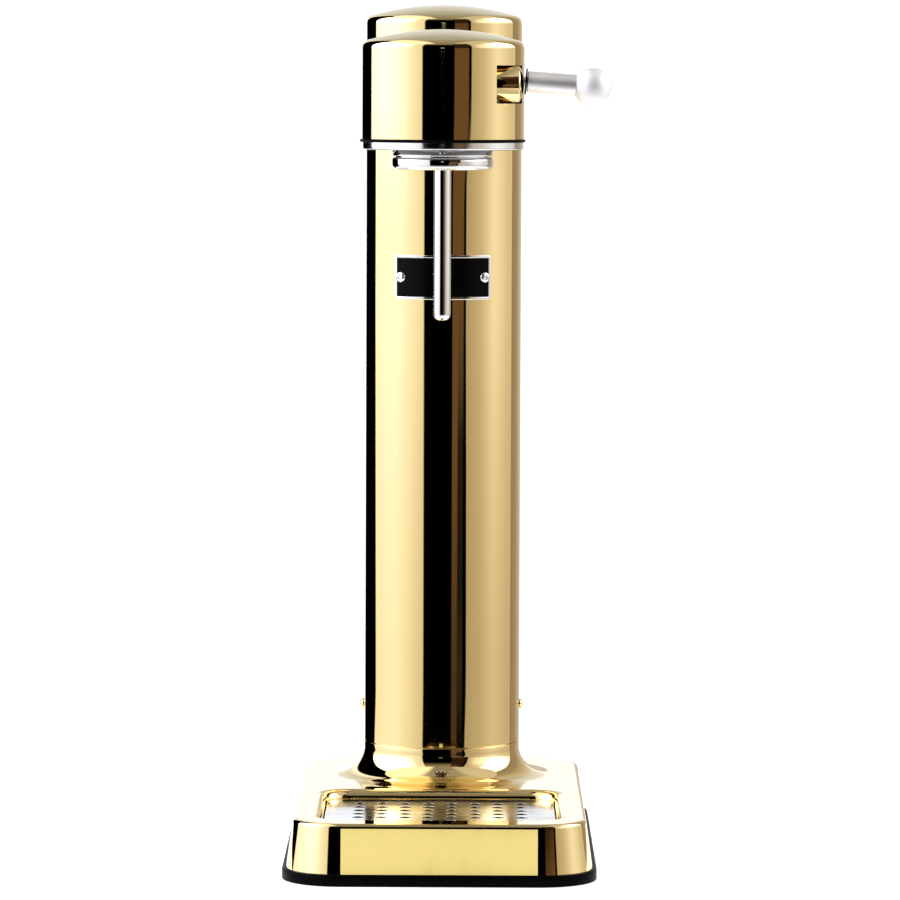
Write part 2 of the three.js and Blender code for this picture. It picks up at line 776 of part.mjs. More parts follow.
// The tower's round grown by its clearance, which trims whatever meets it.
function towerRound() {
  return ring(towerRadius + seat, 0, -overrun, towerWallTop, wideSides, 0, armReach);
}

// Window in the head's right front, in which the lever's barrel lies.
function leverWindow() {
  const half = barrelRadius + seat;
  return box(
    pivotX + windowLeft,
    headRadius + overrun,
    -headRadius - overrun,
    half - barrelForward,
    barrelZ - half,
    barrelZ + half,
  );
}

// Head shell: the round with its dome, joined to the tower by the neck, open below.
function headShell() {
  const rise = crown(headRadius, headWallTop, crownInnerEdge + headWall);
  const inner = headRadius - headWall;
  const floor = headBottom - overrun;
  const innerRise = crown(inner, headWallTop, crownInnerEdge);
  const outside = turned([[0, headBottom], [headRadius, headBottom], ...rise], wideSides)
    .add(prism(neckOutline(0), headBottom, neckTop));
  const inside = turned([[0, floor], [inner, floor], ...innerRise], wideSides)
    .add(prism(neckOutline(-headWall), floor, neckTop - headWall));
  const shell = outside.subtract(inside).subtract(towerRound()).subtract(leverWindow());
  return piece('head_shell', shell, 'gold');
}

// Black gasket along the head's and the neck's lower edge.
function headGasket() {
  const floor = gasketBottom - overrun;
  const ceiling = gasketTop + overrun;
  const outer = ring(headRadius + gasketProud, 0, gasketBottom, gasketTop, wideSides)
    .add(prism(neckOutline(gasketProud), gasketBottom, gasketTop));
  const inner = ring(headRadius - gasketWidth, 0, floor, ceiling, wideSides)
    .add(prism(neckOutline(-gasketWidth), floor, ceiling));
  return piece('head_gasket', outer.subtract(inner).subtract(towerRound()), 'rubber');
}

// Steel underplate that closes the head and the neck from below.
function headUnderplate() {
  const radius = headRadius - underplateInset;
  const profile = [[0, underplateBottom], [radius - underplateChamfer, underplateBottom],
    [radius, underplateBottom + underplateChamfer], [radius, underplateTop], [0, underplateTop]];
  const hole = ring(spigotRadius + seat, 0, underplateBottom - overrun, underplateTop + overrun);
  const plate = turned(profile, wideSides)
    .add(prism(neckOutline(-underplateInset), underplateBottom, underplateTop));
  return piece('head_underplate', plate.subtract(hole).subtract(towerRound()), 'steel');
}

const spigotRadius = bodyRadius - bodyFlange;
const bracketBottom = frameTop + lip;
const bracketTop = bracketBottom + bracketWall;
const bracketScrewPlaces = [-1, 1].map((side) => ({
  x: 0,
  y: rockerY + side * (bracketHalfLength - screwHeadRadius - seat),
  z: bracketTop + seat,
  reach: bracketWall + frameThickness,
  up: -1,
}));
const barrelScrewPlaces = [-1, 1].map((side) => ({
  x: pivotX + pillarHalfLength,
  y: side * (barrelSlot + 2 * screwShankRadius) - barrelForward,
  z: frameBottom + screwHeadHeight + seat,
  reach: barrelZ - barrelRadius / 2 - frameBottom - screwHeadHeight,
  up: 1,
}));

// Frame plate from the tower to the head, with the saddle that the lever's barrel lies in.
function headFrame() {
  const pillarX = pivotX + pillarHalfLength;
  const saddleTop = barrelZ - barrelRadius * saddleShare;
  const pillar = box(
    pillarX - pillarHalfLength,
    pillarX + screwHeadRadius,
    -barrelForward - pillarHalfWidth,
    -barrelForward + pillarHalfWidth,
    frameBottom,
    saddleTop,
  );
  const low = frameBottom - overrun;
  const high = frameTop + overrun;
  const plate = ring(headRadius - headWall - seat, 0, frameBottom, frameTop, wideSides)
    .add(ring(linerRadius, 0, frameBottom, frameTop, wideSides, 0, armReach))
    .add(box(-frameWaist, frameWaist, 0, armReach, frameBottom, frameTop))
    .add(pillar)
    .subtract(ring(spigotRadius + seat, 0, low, high))
    .subtract(ring(socketOuter + seat, 0, low, high, middleSides, 0, armReach))
    .subtract(barAlongX(barrelRadius + seat, 0, headRadius, -barrelForward, barrelZ, middleSides));
  const framePlaces = frameScrewPlaces.map((place) => ({ ...place, y: place.y + armReach }));
  const places = [...framePlaces, ...bracketScrewPlaces, ...barrelScrewPlaces];
  return piece('head_frame', cutScrewHoles(plate, places), 'aluminium');
}

// Steel collar that the bottle's neck goes into: a cup open below, with a hub round the tube.
function bottleCollar() {
  const bore = tubeRadius + seat;
  const roof = collarBottom + collarMouthDepth;
  const hub = collarBottom + collarHubRecess;
  const profile = [[bore, hub], [collarHubRadius, hub], [collarHubRadius, roof],
    [collarMouthRadius, roof], [collarMouthRadius, collarBottom],
    [collarRadius - collarEdge, collarBottom], [collarRadius, collarBottom + collarEdge],
    [collarRadius, collarWaist], [collarRadius - collarShoulderInset, collarTop], [bore, collarTop],
    [bore, hub]];
  let collar = turned(profile, wideSides);
  for (const angle of collarScrewAngles) {
    const room = collarScrewRadius + seat;
    const depth = collarScrewSeat - collarScrewLength - seat;
    const corners = [[0, depth], [room, depth], [room, towerRadius], [0, towerRadius]];
    const hole = turnedAlongX(corners, screwSides);
    collar = collar.subtract(solid(hole.rotateZ(angle).translate(0, 0, collarScrewZ)));
  }
  return piece('bottle_collar', collar, 'steel');
}

const collarScrewAngles = Array.from({ length: collarScrewCount }, (_, i) => {
  return (2 * Math.PI * i) / collarScrewCount - Math.PI / 2;
});
const collarScrewZ = (collarTop + collarBottom + collarMouthDepth) / 2;
const collarScrewSeat = collarRadius - collarShoulderInset / 2;

function collarScrews() {
  const shank = collarScrewRadius / 2;
  const body = buttonScrew(collarScrewRadius, collarScrewProud, shank, collarScrewLength);
  const names = collarScrewAngles.map((_, i) => `collar_screw_${i + 1}`);
  return radialScrews(names, collarScrewAngles, collarScrewSeat, collarScrewZ, body, 'steel');
}

// Rubber seal in the collar's roof, which the bottle's rim presses on.
function bottleSeal() {
  const top = collarBottom + collarMouthDepth - lip;
  return piece(
    'bottle_seal',
    ring(collarMouthRadius - seat, collarHubRadius + seat, top - sealThickness, top, wideSides),
    'rubber',
  );
}

// Carbonation tube with a rounded tip and a fine hole in it.
function carbonationTube() {
  const top = frameBottom + frameThickness / 2;
  const profile = [[tubeTipHole, tubeTip]];
  for (let i = 1; i <= domeSteps; i += 1) {
    const angle = (Math.PI / 2) * (i / domeSteps);
    const radius = tubeTipHole + (tubeRadius - tubeTipHole) * Math.sin(angle);
    profile.push([radius, tubeTip + tubeNose * (1 - Math.cos(angle))]);
  }
  profile.push([tubeRadius, top], [tubeBore, top], [tubeBore, tubeTip + tubeNose]);
  profile.push([tubeTipHole, tubeTip + tubeNose - tubeBore + tubeTipHole], [tubeTipHole, tubeTip]);
  return piece('carbonation_tube', turned(profile), 'steel');
}

const bodyTop = frameTop + lip + bodyHeight;

// Valve body in the head: its spigot passes down through the frame and the underplate to the collar.
function valveBody() {
  const profile = [[0, collarTop + lip], [spigotRadius, collarTop + lip], [spigotRadius, frameTop + lip],
    [bodyRadius, frameTop + lip], [bodyRadius, bodyTop], [0, bodyTop]];
  const bore = ring(tubeRadius + seat, 0, collarTop - overrun, frameTop, smallSides);
  return piece('valve_body', turned(profile).subtract(bore), 'plastic');
}

function reliefValve() {
  const body = ring(reliefRadius, 0, bodyTop + lip, bodyTop + reliefHeight, reliefSides);
  return piece('relief_valve', body, 'brass');
}

// Gas pipe from the socket past the rocker's bracket to the valve body.
function gasPipe() {
  const from = armReach - socketOuter - socketFlange - seat;
  const to = bodyRadius + seat;
  const fromZ = (frameTop + socketTop) / 2;
  const toZ = frameTop + bodyHeight / 2;
  const lead = 2 * pipeRadius;
  const route = new THREE.CatmullRomCurve3([
    new THREE.Vector3(0, from, fromZ),
    new THREE.Vector3(0, from - lead, fromZ),
    new THREE.Vector3(-pipeSideways, rockerY + bracketHalfLength, fromZ),
    new THREE.Vector3(-pipeSideways, rockerY - bracketHalfLength, toZ),
    new THREE.Vector3(0, to + lead, toZ),
    new THREE.Vector3(0, to, toZ),
  ]);
  const section = new THREE.Shape();
  for (let i = 0; i < pipeSides; i += 1) {
    const angle = (2 * Math.PI * i) / pipeSides;
    const corner = [pipeRadius * Math.cos(angle), pipeRadius * Math.sin(angle)];
    if (i === 0) {
      section.moveTo(...corner);
    } else {
      section.lineTo(...corner);
    }
  }
  section.closePath();
  const settings = { steps: pipeSteps, bevelEnabled: false, extrudePath: route };
  return piece('gas_pipe', solid(new THREE.ExtrudeGeometry(section, settings)), 'aluminium');
}

const rockerInner = rockerHalf + seat;
const rockerOuter = rockerInner + bracketWall;

// Hole for the rocker's pin, through the arm and both cheeks of its bracket.
function rockerBore() {
  const reach = rockerOuter + overrun;
  return barAlongX(rockerPinRadius + seat, -reach, reach, rockerY, rockerZ);
}

// Rocker arm: a bar from over the lever's finger to over the plunger, with a boss round its pin.
function rockerArm() {
  const top = rockerBottom + rockerThickness;
  const front = -barrelForward - rockerPad;
  const arm = box(-rockerHalf, rockerHalf, front, armReach + rockerPad, rockerBottom, top)
    .add(box(0, pivotX - fingerReach + rockerPad / 2, front, rockerPad - barrelForward, rockerBottom, top))
    .add(barAlongX(rockerBoss, -rockerHalf, rockerHalf, rockerY, rockerZ))
    .subtract(rockerBore());
  return piece('rocker_arm', arm, 'steel');
}

function rockerPin() {
  const half = rockerOuter + bracketWall;
  return piece('rocker_pin', barAlongX(rockerPinRadius, -half, half, rockerY, rockerZ), 'steel');
}

// Rocker bracket: a plate screwed to the frame, with two cheeks for the pin.
function rockerBracket() {
  const [back, front] = [rockerY - bracketHalfLength, rockerY + bracketHalfLength];
  let bracket = box(-rockerOuter, rockerOuter, back, front, bracketBottom, bracketTop);
  for (const side of [-1, 1]) {
    const [x0, x1] = [side * rockerInner, side * rockerOuter].sort((a, b) => a - b);
    const cheekTop = rockerZ + rockerBoss;
    bracket = bracket.add(box(x0, x1, rockerY - rockerBoss, rockerY + rockerBoss, bracketBottom, cheekTop));
  }
  bracket = bracket.subtract(rockerBore());
  return piece('rocker_bracket', cutScrewHoles(bracket, bracketScrewPlaces), 'steel');
}

// Lever's barrel: a bar along X with a domed end centred on the pivot, slotted for the lever.
function leverBarrel() {
  const start = pivotX - barrelBack;
  const rim = Math.asin(barrelRadius / barrelDome);
  const profile = [[0, start], [barrelRadius, start]];
  for (let i = 0; i <= domeSteps; i += 1) {
    const angle = rim * (1 - i / domeSteps);
    profile.push([barrelDome * Math.sin(angle), pivotX + barrelDome * Math.cos(angle)]);
  }
  const bar = solid(turnedAlongX(profile, middleSides).translate(0, -barrelForward, barrelZ));
  const slot = box(
    start - overrun,
    pivotX + barrelDome + overrun,
    -barrelSlot - barrelForward,
    barrelSlot - barrelForward,
    barrelZ - barrelRadius - overrun,
    barrelZ + barrelSlotTop,
  );
  const reach = barrelRadius + overrun;
  const [back, front] = [-barrelForward - reach, reach - barrelForward];
  const pinHole = barAlongY(pinRadius + seat, back, front, pivotX, barrelZ);
  const barrel = bar.subtract(slot).subtract(pinHole);
  return piece('lever_barrel', cutScrewHoles(barrel, barrelScrewPlaces), 'gold');
}

function leverPin() {
  const half = barrelRadius - seat;
  const bar = barAlongY(pinRadius, -barrelForward - half, half - barrelForward, pivotX, barrelZ);
  return piece('lever_pin', bar, 'steel');
}

const washerStart = barrelDome + seat;
const rodStart = washerStart + washerThickness + lip;
const rodEnd = rodStart + rodLength;

// Lever arm in the lever's own frame, along +X from the pivot: finger, eye, neck and rod.
function leverArm() {
  const fingerRise = rockerBottom - contactGap - fingerRadius - barrelZ;
  const fingerX = -fingerReach * Math.cos(leverDroop) - fingerRise * Math.sin(leverDroop);
  const fingerZ = fingerRise * Math.cos(leverDroop) - fingerReach * Math.sin(leverDroop);
  const rod = [[0, rodStart - lip], [rodStartRadius - rodEdge, rodStart - lip],
    [rodStartRadius, rodStart + rodEdge], [rodEndRadius, rodEnd], [ballStemRadius, rodEnd],
    [ballStemRadius, rodEnd + ballStemLength], [0, rodEnd + ballStemLength]];
  const arm = barAlongY(eyeRadius, -eyeHalf, eyeHalf, 0, 0)
    .add(barAlongY(fingerRadius, -eyeHalf, eyeHalf, fingerX, fingerZ))
    .add(box(fingerX, 0, -eyeHalf, eyeHalf, fingerZ - fingerRadius / 2, fingerZ + fingerRadius / 2))
    .add(barAlongX(neckRodRadius, 0, rodStart + lip, 0, leverOffset))
    .add(solid(turnedAlongX(rod, middleSides).translate(0, 0, leverOffset)))
    .subtract(barAlongY(pinRadius + seat, -eyeHalf - overrun, eyeHalf + overrun, 0, 0));
  return piece('lever_arm', arm, 'steel');
}

// Black washer behind the rod, which slides over the barrel's domed end.
function leverWasher() {
  const hole = neckRodRadius + seat;
  const end = washerStart + washerThickness - lip;
  const profile = [[hole, washerStart], [washerRadius, washerStart], [washerRadius, end], [hole, end],
    [hole, washerStart]];
  const body = solid(turnedAlongX(profile, middleSides).translate(0, 0, leverOffset));
  return piece('lever_washer', body, 'rubber');
}

// Ball on the rod's end, bored for its stem.
function leverBall() {
  const hole = ballStemRadius + seat;
  const middle = rodEnd + lip + Math.sqrt(ballRadius ** 2 - rodEndRadius ** 2);
  const profile = [[0, rodEnd + ballStemLength + seat], [hole, rodEnd + ballStemLength + seat],
    [hole, rodEnd + lip]];
  const first = Math.asin(rodEndRadius / ballRadius);
  const steps = 2 * domeSteps;
  for (let i = 0; i <= steps; i += 1) {
    const angle = first + (Math.PI - first) * (i / steps);
    profile.push([ballRadius * Math.sin(angle), middle - ballRadius * Math.cos(angle)]);
  }
  const body = solid(turnedAlongX(profile, middleSides).translate(0, 0, leverOffset));
  return piece('lever_ball', body, 'steel');
}

// Group at a place, holding its pieces.
function groupAt(x, y, z, pieces) {
  const group = new THREE.Group();
  group.position.set(x, y, z);
  group.add(...pieces);
  return group;
}

const base = groupAt(0, 0, 0, [
  rubberFoot(),
  baseShell(),
  basePlate(),
  ...screws('base_screw', baseScrewPlaces),
  dripTray(),
  dripGrille(),
]);

const sideScrewReach = towerWall + linerWall;
const nameScrewReach = nameThickness + towerWall + linerWall / 2;
const tower = groupAt(0, towerY, 0, [
  towerTube(),
  towerLiner(),
  ...radialScrews(
    ['side_screw_right', 'side_screw_left'],
    sideScrewAngles,
    towerRadius + lip,
    sideScrewZ,
    buttonScrew(sideScrewRadius, sideScrewHead, sideScrewShank, sideScrewReach),
    'gold',
  ),
  namePlate(),
  namePlateField(),
  ...radialScrews(
    ['name_screw_right', 'name_screw_left'],
    nameScrewAngles,
    nameRecess + seat,
    nameZ,
    buttonScrew(nameScrewRadius, nameScrewHead, nameScrewShank, nameScrewReach),
    'steel',
  ),
  ...screws('frame_screw', frameScrewPlaces),
  gasCylinder(),
  cylinderValve(),
  valvePin(),
  cylinderSocket(),
  valvePlunger(),
  returnSpring(),
]);

const lever = groupAt(pivotX, -barrelForward, barrelZ, [leverArm(), leverWasher(), leverBall()]);
lever.rotation.y = leverDroop;

const head = groupAt(0, headY, 0, [
  headShell(),
  headGasket(),
  headUnderplate(),
  headFrame(),
  bottleCollar(),
  ...collarScrews(),
  bottleSeal(),
  carbonationTube(),
  valveBody(),
  reliefValve(),
  gasPipe(),
  rockerArm(),
  rockerPin(),
  rockerBracket(),
  ...screws('bracket_screw', bracketScrewPlaces),
  leverBarrel(),
  ...screws('barrel_screw', barrelScrewPlaces),
  leverPin(),
  lever,
]);

const maker = new THREE.Group();
maker.add(base, tower, head);

export default maker;
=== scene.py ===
"""Builds the looks of a sparkling water maker round its fixed frame: skins, finishes, studio and camera.

All lengths are in metres: +Z is up, the front is -Y and the lever stands out on +X.
"""

import json
import math

import bmesh
import bpy
import numpy as np
from bpy.props import FloatProperty, FloatVectorProperty, IntProperty, PointerProperty
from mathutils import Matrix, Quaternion, Vector
from mathutils.geometry import tessellate_polygon


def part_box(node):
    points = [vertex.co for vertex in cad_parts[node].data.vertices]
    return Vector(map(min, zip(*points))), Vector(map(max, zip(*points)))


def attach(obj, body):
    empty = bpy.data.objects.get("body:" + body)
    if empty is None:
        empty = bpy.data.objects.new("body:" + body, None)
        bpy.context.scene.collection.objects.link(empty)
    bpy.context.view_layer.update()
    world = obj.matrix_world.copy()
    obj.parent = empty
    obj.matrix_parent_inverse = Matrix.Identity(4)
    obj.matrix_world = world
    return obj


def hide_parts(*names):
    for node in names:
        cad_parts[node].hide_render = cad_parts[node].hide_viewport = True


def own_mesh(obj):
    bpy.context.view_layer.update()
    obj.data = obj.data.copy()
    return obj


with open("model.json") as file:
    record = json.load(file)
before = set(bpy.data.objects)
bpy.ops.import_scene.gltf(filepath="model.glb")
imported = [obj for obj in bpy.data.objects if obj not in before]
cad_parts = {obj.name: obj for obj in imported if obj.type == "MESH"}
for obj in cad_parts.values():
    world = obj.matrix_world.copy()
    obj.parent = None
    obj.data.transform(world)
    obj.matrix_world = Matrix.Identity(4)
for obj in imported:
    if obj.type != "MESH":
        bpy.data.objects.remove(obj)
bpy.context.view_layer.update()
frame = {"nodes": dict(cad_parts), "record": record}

bl_info = {
    "name": "Sparkling Water Maker",
    "version": (1, 0, 0),
    "blender": (4, 5, 0),
    "location": "View3D > Sidebar > Water Maker",
    "description": "Smooth metal skins, finishes and studio for a sparkling water maker",
    "category": "Object",
}

MACHINE = "machine"
GOLD_SLOT = "gold_metal"
STEEL_SLOT = "polished_steel"
RUBBER_SLOT = "black_rubber"
WHOLE_TURN = 2 * math.pi
RIGHT_ANGLE = math.pi / 2
SHARP_ANGLE = math.radians(32)
# Gap between faces that would otherwise fall together
HAIR = 0.0001
# Points closer than this become one
WELD_DISTANCE = 5e-7


def extent(node):
    """Lowest and highest corner of a CAD node's box, as arrays."""
    low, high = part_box(node)
    return np.array(low), np.array(high)


def span(node):
    """Lowest and highest z of a CAD node."""
    return tuple(float(corner[2]) for corner in extent(node))


def middle(node):
    """Middle of a CAD node's box."""
    low, high = extent(node)
    return (low + high) / 2


def half_size(node):
    """Half the size of a CAD node's box."""
    low, high = extent(node)
    return (high - low) / 2


def radius_of(node):
    """Radius of a round upright CAD node."""
    return float(half_size(node)[0])


# Places and sizes that several pieces share
TOWER = middle("tower_tube")
HEAD = middle("bottle_collar")
PIVOT = middle("lever_pin")
TOWER_RADIUS = radius_of("tower_tube")
BARREL_RADIUS = float(half_size("lever_barrel")[1])
TOWER_BOTTOM, TOWER_TOP = span("tower_tube")
HEAD_BOTTOM, HEAD_TOP = span("head_shell")
ARM_REACH = float(TOWER[1] - HEAD[1])
BASE_BOTTOM, BASE_SHELL_TOP = span("base_shell")
FLARE_RISE = 0.0165
BASE_RISE = BASE_SHELL_TOP - BASE_BOTTOM - FLARE_RISE
PLATE_TOP = span("drip_grille")[1]
SEAM_EDGE = 0.00035


# Settings

def length_setting(name, description, default, low, high, precision=4):
    """Setting of a length in metres."""
    return FloatProperty(
        name=name, description=description, default=default, min=low, max=high, precision=precision,
        unit="LENGTH",
    )


def angle_setting(name, description, default, low, high, precision=2):
    """Setting of an angle in radians, shown in degrees."""
    return FloatProperty(
        name=name, description=description, default=default, min=low, max=high, precision=precision,
        subtype="ANGLE",
    )


def colour_setting(name, description, *default):
    """Setting of a colour in linear red, green and blue."""
    return FloatVectorProperty(
        name=name, description=description, default=default, min=0, max=1, size=3, subtype="COLOR",
    )


def place_setting(name, description, *default):
    """Setting of a point."""
    return FloatVectorProperty(
        name=name, description=description, default=default, size=3, precision=4, subtype="XYZ",
        unit="LENGTH",
    )


class MakerSizes(bpy.types.PropertyGroup):
    """Sizes of the visible skins that the CAD boxes don't give."""

    wall: length_setting("Wall", "Thickness of the drawn metal skins", 0.0012, 0.0004, 0.003)
    crown_edge: length_setting("Crown edge", "Radius between a wall and its dome", 0.0036, 0.0005, 0.006)
    crown_slope: angle_setting("Crown slope", "Slope of a dome where it meets its edge", 0.2915, 0.05, 0.8)
    flare_reach: length_setting("Flare reach", "How far the flare runs out", 0.016, 0.004, 0.0162)
    flare_height: length_setting("Flare height", "Height of the flare's curve", 0.0135, 0.004, 0.0165)
    foot_corner: length_setting("Foot corner", "Corner radius of the rubber foot", 0.028, 0.01, 0.05)
    foot_ledge: length_setting("Foot ledge", "How far the foot stands out", 0.002, 0.0, 0.006)
    base_draft: length_setting("Base draft", "How far each side leans in", 0.00325, 0.0, 0.01, 5)
    base_edge: length_setting("Base edge", "Radius of the base's top edge", 0.002, 0.0005, 0.005)
    pocket_rim: length_setting("Pocket rim", "Radius of the rim round the drip tray", 0.0047, 0.001, 0.008)
    pocket_corner: length_setting("Pocket corner", "Corner radius of the tray's pocket", 0.012, 0.004, 0.03)
    pocket_gap: length_setting("Pocket gap", "Gap between the pocket and the tray", 0.0004, 0.0001, 0.002)
    hole_radius: length_setting("Hole radius", "Radius of the holes in the plate", 0.0028, 0.001, 0.004)
    hole_pitch_across: length_setting("Pitch across", "Hole to hole, left to right", 0.0112, 0.007, 0.02)
    hole_pitch_along: length_setting("Pitch along", "Hole to hole, front to back", 0.0118, 0.007, 0.02)
    neck_waist: length_setting("Neck waist", "Half the neck's narrowest width", 0.026, 0.015, 0.034)
    neck_root: length_setting("Neck root", "Half the neck's width at its ends", 0.034, 0.02, 0.039)
    neck_edge: length_setting("Neck edge", "Radius along the neck's top edges", 0.0022, 0.0005, 0.006)
    neck_drop: length_setting("Neck drop", "How far the neck lies below the head", 0.0098, 0.001, 0.02)
    lever_droop: angle_setting("Lever droop", "Slope of the lever below level at rest", 0.0785, 0.0, 0.3)
    spring_curls: IntProperty(
        name="Spring curls", description="Curls of the plunger's return spring", default=5, min=3, max=9,
    )


class MakerColours(bpy.types.PropertyGroup):
    """Colours of the finishes."""

    gold: colour_setting("Gold", "Polished gold coating", 0.93, 0.735, 0.36)
    steel: colour_setting("Steel", "Polished steel", 0.89, 0.89, 0.895)
    rubber: colour_setting("Rubber", "Foot, gasket, washer and seal", 0.0012, 0.0012, 0.0012)
    enamel: colour_setting("Enamel", "Field of the name plate", 0.0015, 0.0015, 0.0015)
    plastic: colour_setting("Plastic", "Moulded inner parts", 0.025, 0.025, 0.027)
    aluminium: colour_setting("Aluminium", "Frame, socket and pipe", 0.70, 0.71, 0.72)
    brass: colour_setting("Brass", "Valve and relief valve", 0.72, 0.55, 0.25)
    lacquer: colour_setting("Lacquer", "Gas cylinder", 0.36, 0.37, 0.39)


class StudioSettings(bpy.types.PropertyGroup):
    """Camera and light of the studio."""

    camera_place: place_setting("Camera", "Where the camera stands", 0.011, -2.5861, 0.3779)
    camera_aim: place_setting("Aim", "Point that the camera looks at", 0.004, 0.0, 0.1963)
    camera_lens: FloatProperty(
        name="Lens", description="Focal length in millimetres", default=211.8, min=20, max=600,
    )
    camera_roll: angle_setting("Roll", "Turn of the camera about its line of sight", 0.004, -0.5, 0.5, 4)
    light: FloatProperty(
        name="Light", description="Strength of the light walls", default=1.0, min=0.1, max=10,
    )
    room: FloatProperty(
        name="Room", description="Brightness of the room behind the object", default=1.1, min=0.1, max=4,
    )


# Points

def points(*axes):
    """Coordinates joined into points, each axis stretched to the shape that they share."""
    return np.stack(np.broadcast_arrays(*axes), axis=-1)


def turns(count):
    """Evenly spaced angles round a circle."""
    return np.linspace(0, WHOLE_TURN, count, endpoint=False)


def rounded_box(half_x, half_y, corner, height, centre=(0.0, 0.0), steps=14, lead=0.0004):
    """Level rounded rectangle: quarter circles about four corner points, joined by straight sides.

    A lead adds one more point at each end of an arc, moved out along its side, which keeps the side flat.
    """
    turn, shift = np.linspace(0, 1, steps), np.zeros(steps)
    if lead:
        turn = np.pad(turn, 1, mode="edge")
        shift = np.pad(shift, 1, constant_values=(-lead, lead))
    angle = (np.arange(4)[:, None] + turn) * RIGHT_ANGLE
    side_x = np.array([1, -1, -1, 1])[:, None]
    side_y = np.array([1, 1, -1, -1])[:, None]
    x = centre[0] + side_x * (half_x - corner) + corner * np.cos(angle) - shift * np.sin(angle)
    y = centre[1] + side_y * (half_y - corner) + corner * np.sin(angle) + shift * np.cos(angle)
    return points(x, y, height).reshape(-1, 3)


def inset_rings(node, corner, levels):
    """Rounded rectangles of a CAD node's size, each drawn in by an inset, for pairs of inset and height."""
    half, centre = half_size(node), middle(node)[:2]
    return [rounded_box(half[0] - inset, half[1] - inset, corner - inset, z, centre) for inset, z in levels]


def fillet(radius, steps, start, end, centre):
    """Points of an arc in the plane of a profile: (c0 + r cos a, c1 + r sin a)."""
    angle = np.linspace(start, end, steps + 1)
    return points(centre[0] + radius * np.cos(angle), centre[1] + radius * np.sin(angle))


def join_profile(*runs):
    """Runs of [radius, height] points laid end to end."""
    return np.concatenate([np.atleast_2d(np.asarray(run, float)) for run in runs])


def turned(profile, around, centre=(0.0, 0.0)):
    """Surface of revolution about a vertical axis: each profile point runs round a circle of its radius.

    It goes round in a number of even steps, or through the angles given.
    """
    angle = (turns(around) if isinstance(around, int) else around)[:, None]
    radius, height = profile.T
    return points(centre[0] + radius * np.cos(angle), centre[1] + radius * np.sin(angle), height)


def turned_about(radius, height, origin, axis, count):
    """Surface of revolution about any axis: origin + height * along + radius * (cos a side + sin a up).

    Radius and height are rows of a profile, or grids whose rows differ from angle to angle.
    """
    along = np.array(axis, float) / np.linalg.norm(axis)
    helper = np.array([0.0, 0.0, 1.0]) if abs(along[2]) < 0.9 else np.array([1.0, 0.0, 0.0])
    side = np.cross(helper, along)
    side /= np.linalg.norm(side)
    up = np.cross(along, side)
    angle = turns(count)[:, None, None]
    outward = np.cos(angle) * side + np.sin(angle) * up
    return origin + height[..., None] * along + radius[..., None] * outward


def crown_profile(sizes, radius, apex, depth):
    """Profile of a domed top, a depth inside its outer face: an edge arc, then a shallow arc up to the axis.

    The edge arc turns from the wall by a right angle less the slope. The dome's radius is rim / sin(slope).
    """
    radius, apex, edge, slope = radius - depth, apex - depth, sizes.crown_edge - depth, sizes.crown_slope
    turn = RIGHT_ANGLE - slope
    rim = radius - edge * (1 - math.cos(turn))
    wall_top = apex - rim * math.tan(slope / 2) - edge * math.sin(turn)
    dome_radius = rim / math.sin(slope)
    lean = np.linspace(slope, 0, 21)[1:]
    dome = points(dome_radius * np.sin(lean), apex - dome_radius * (1 - np.cos(lean)))
    return join_profile(fillet(edge, 8, 0, turn, (radius - edge, wall_top)), dome)


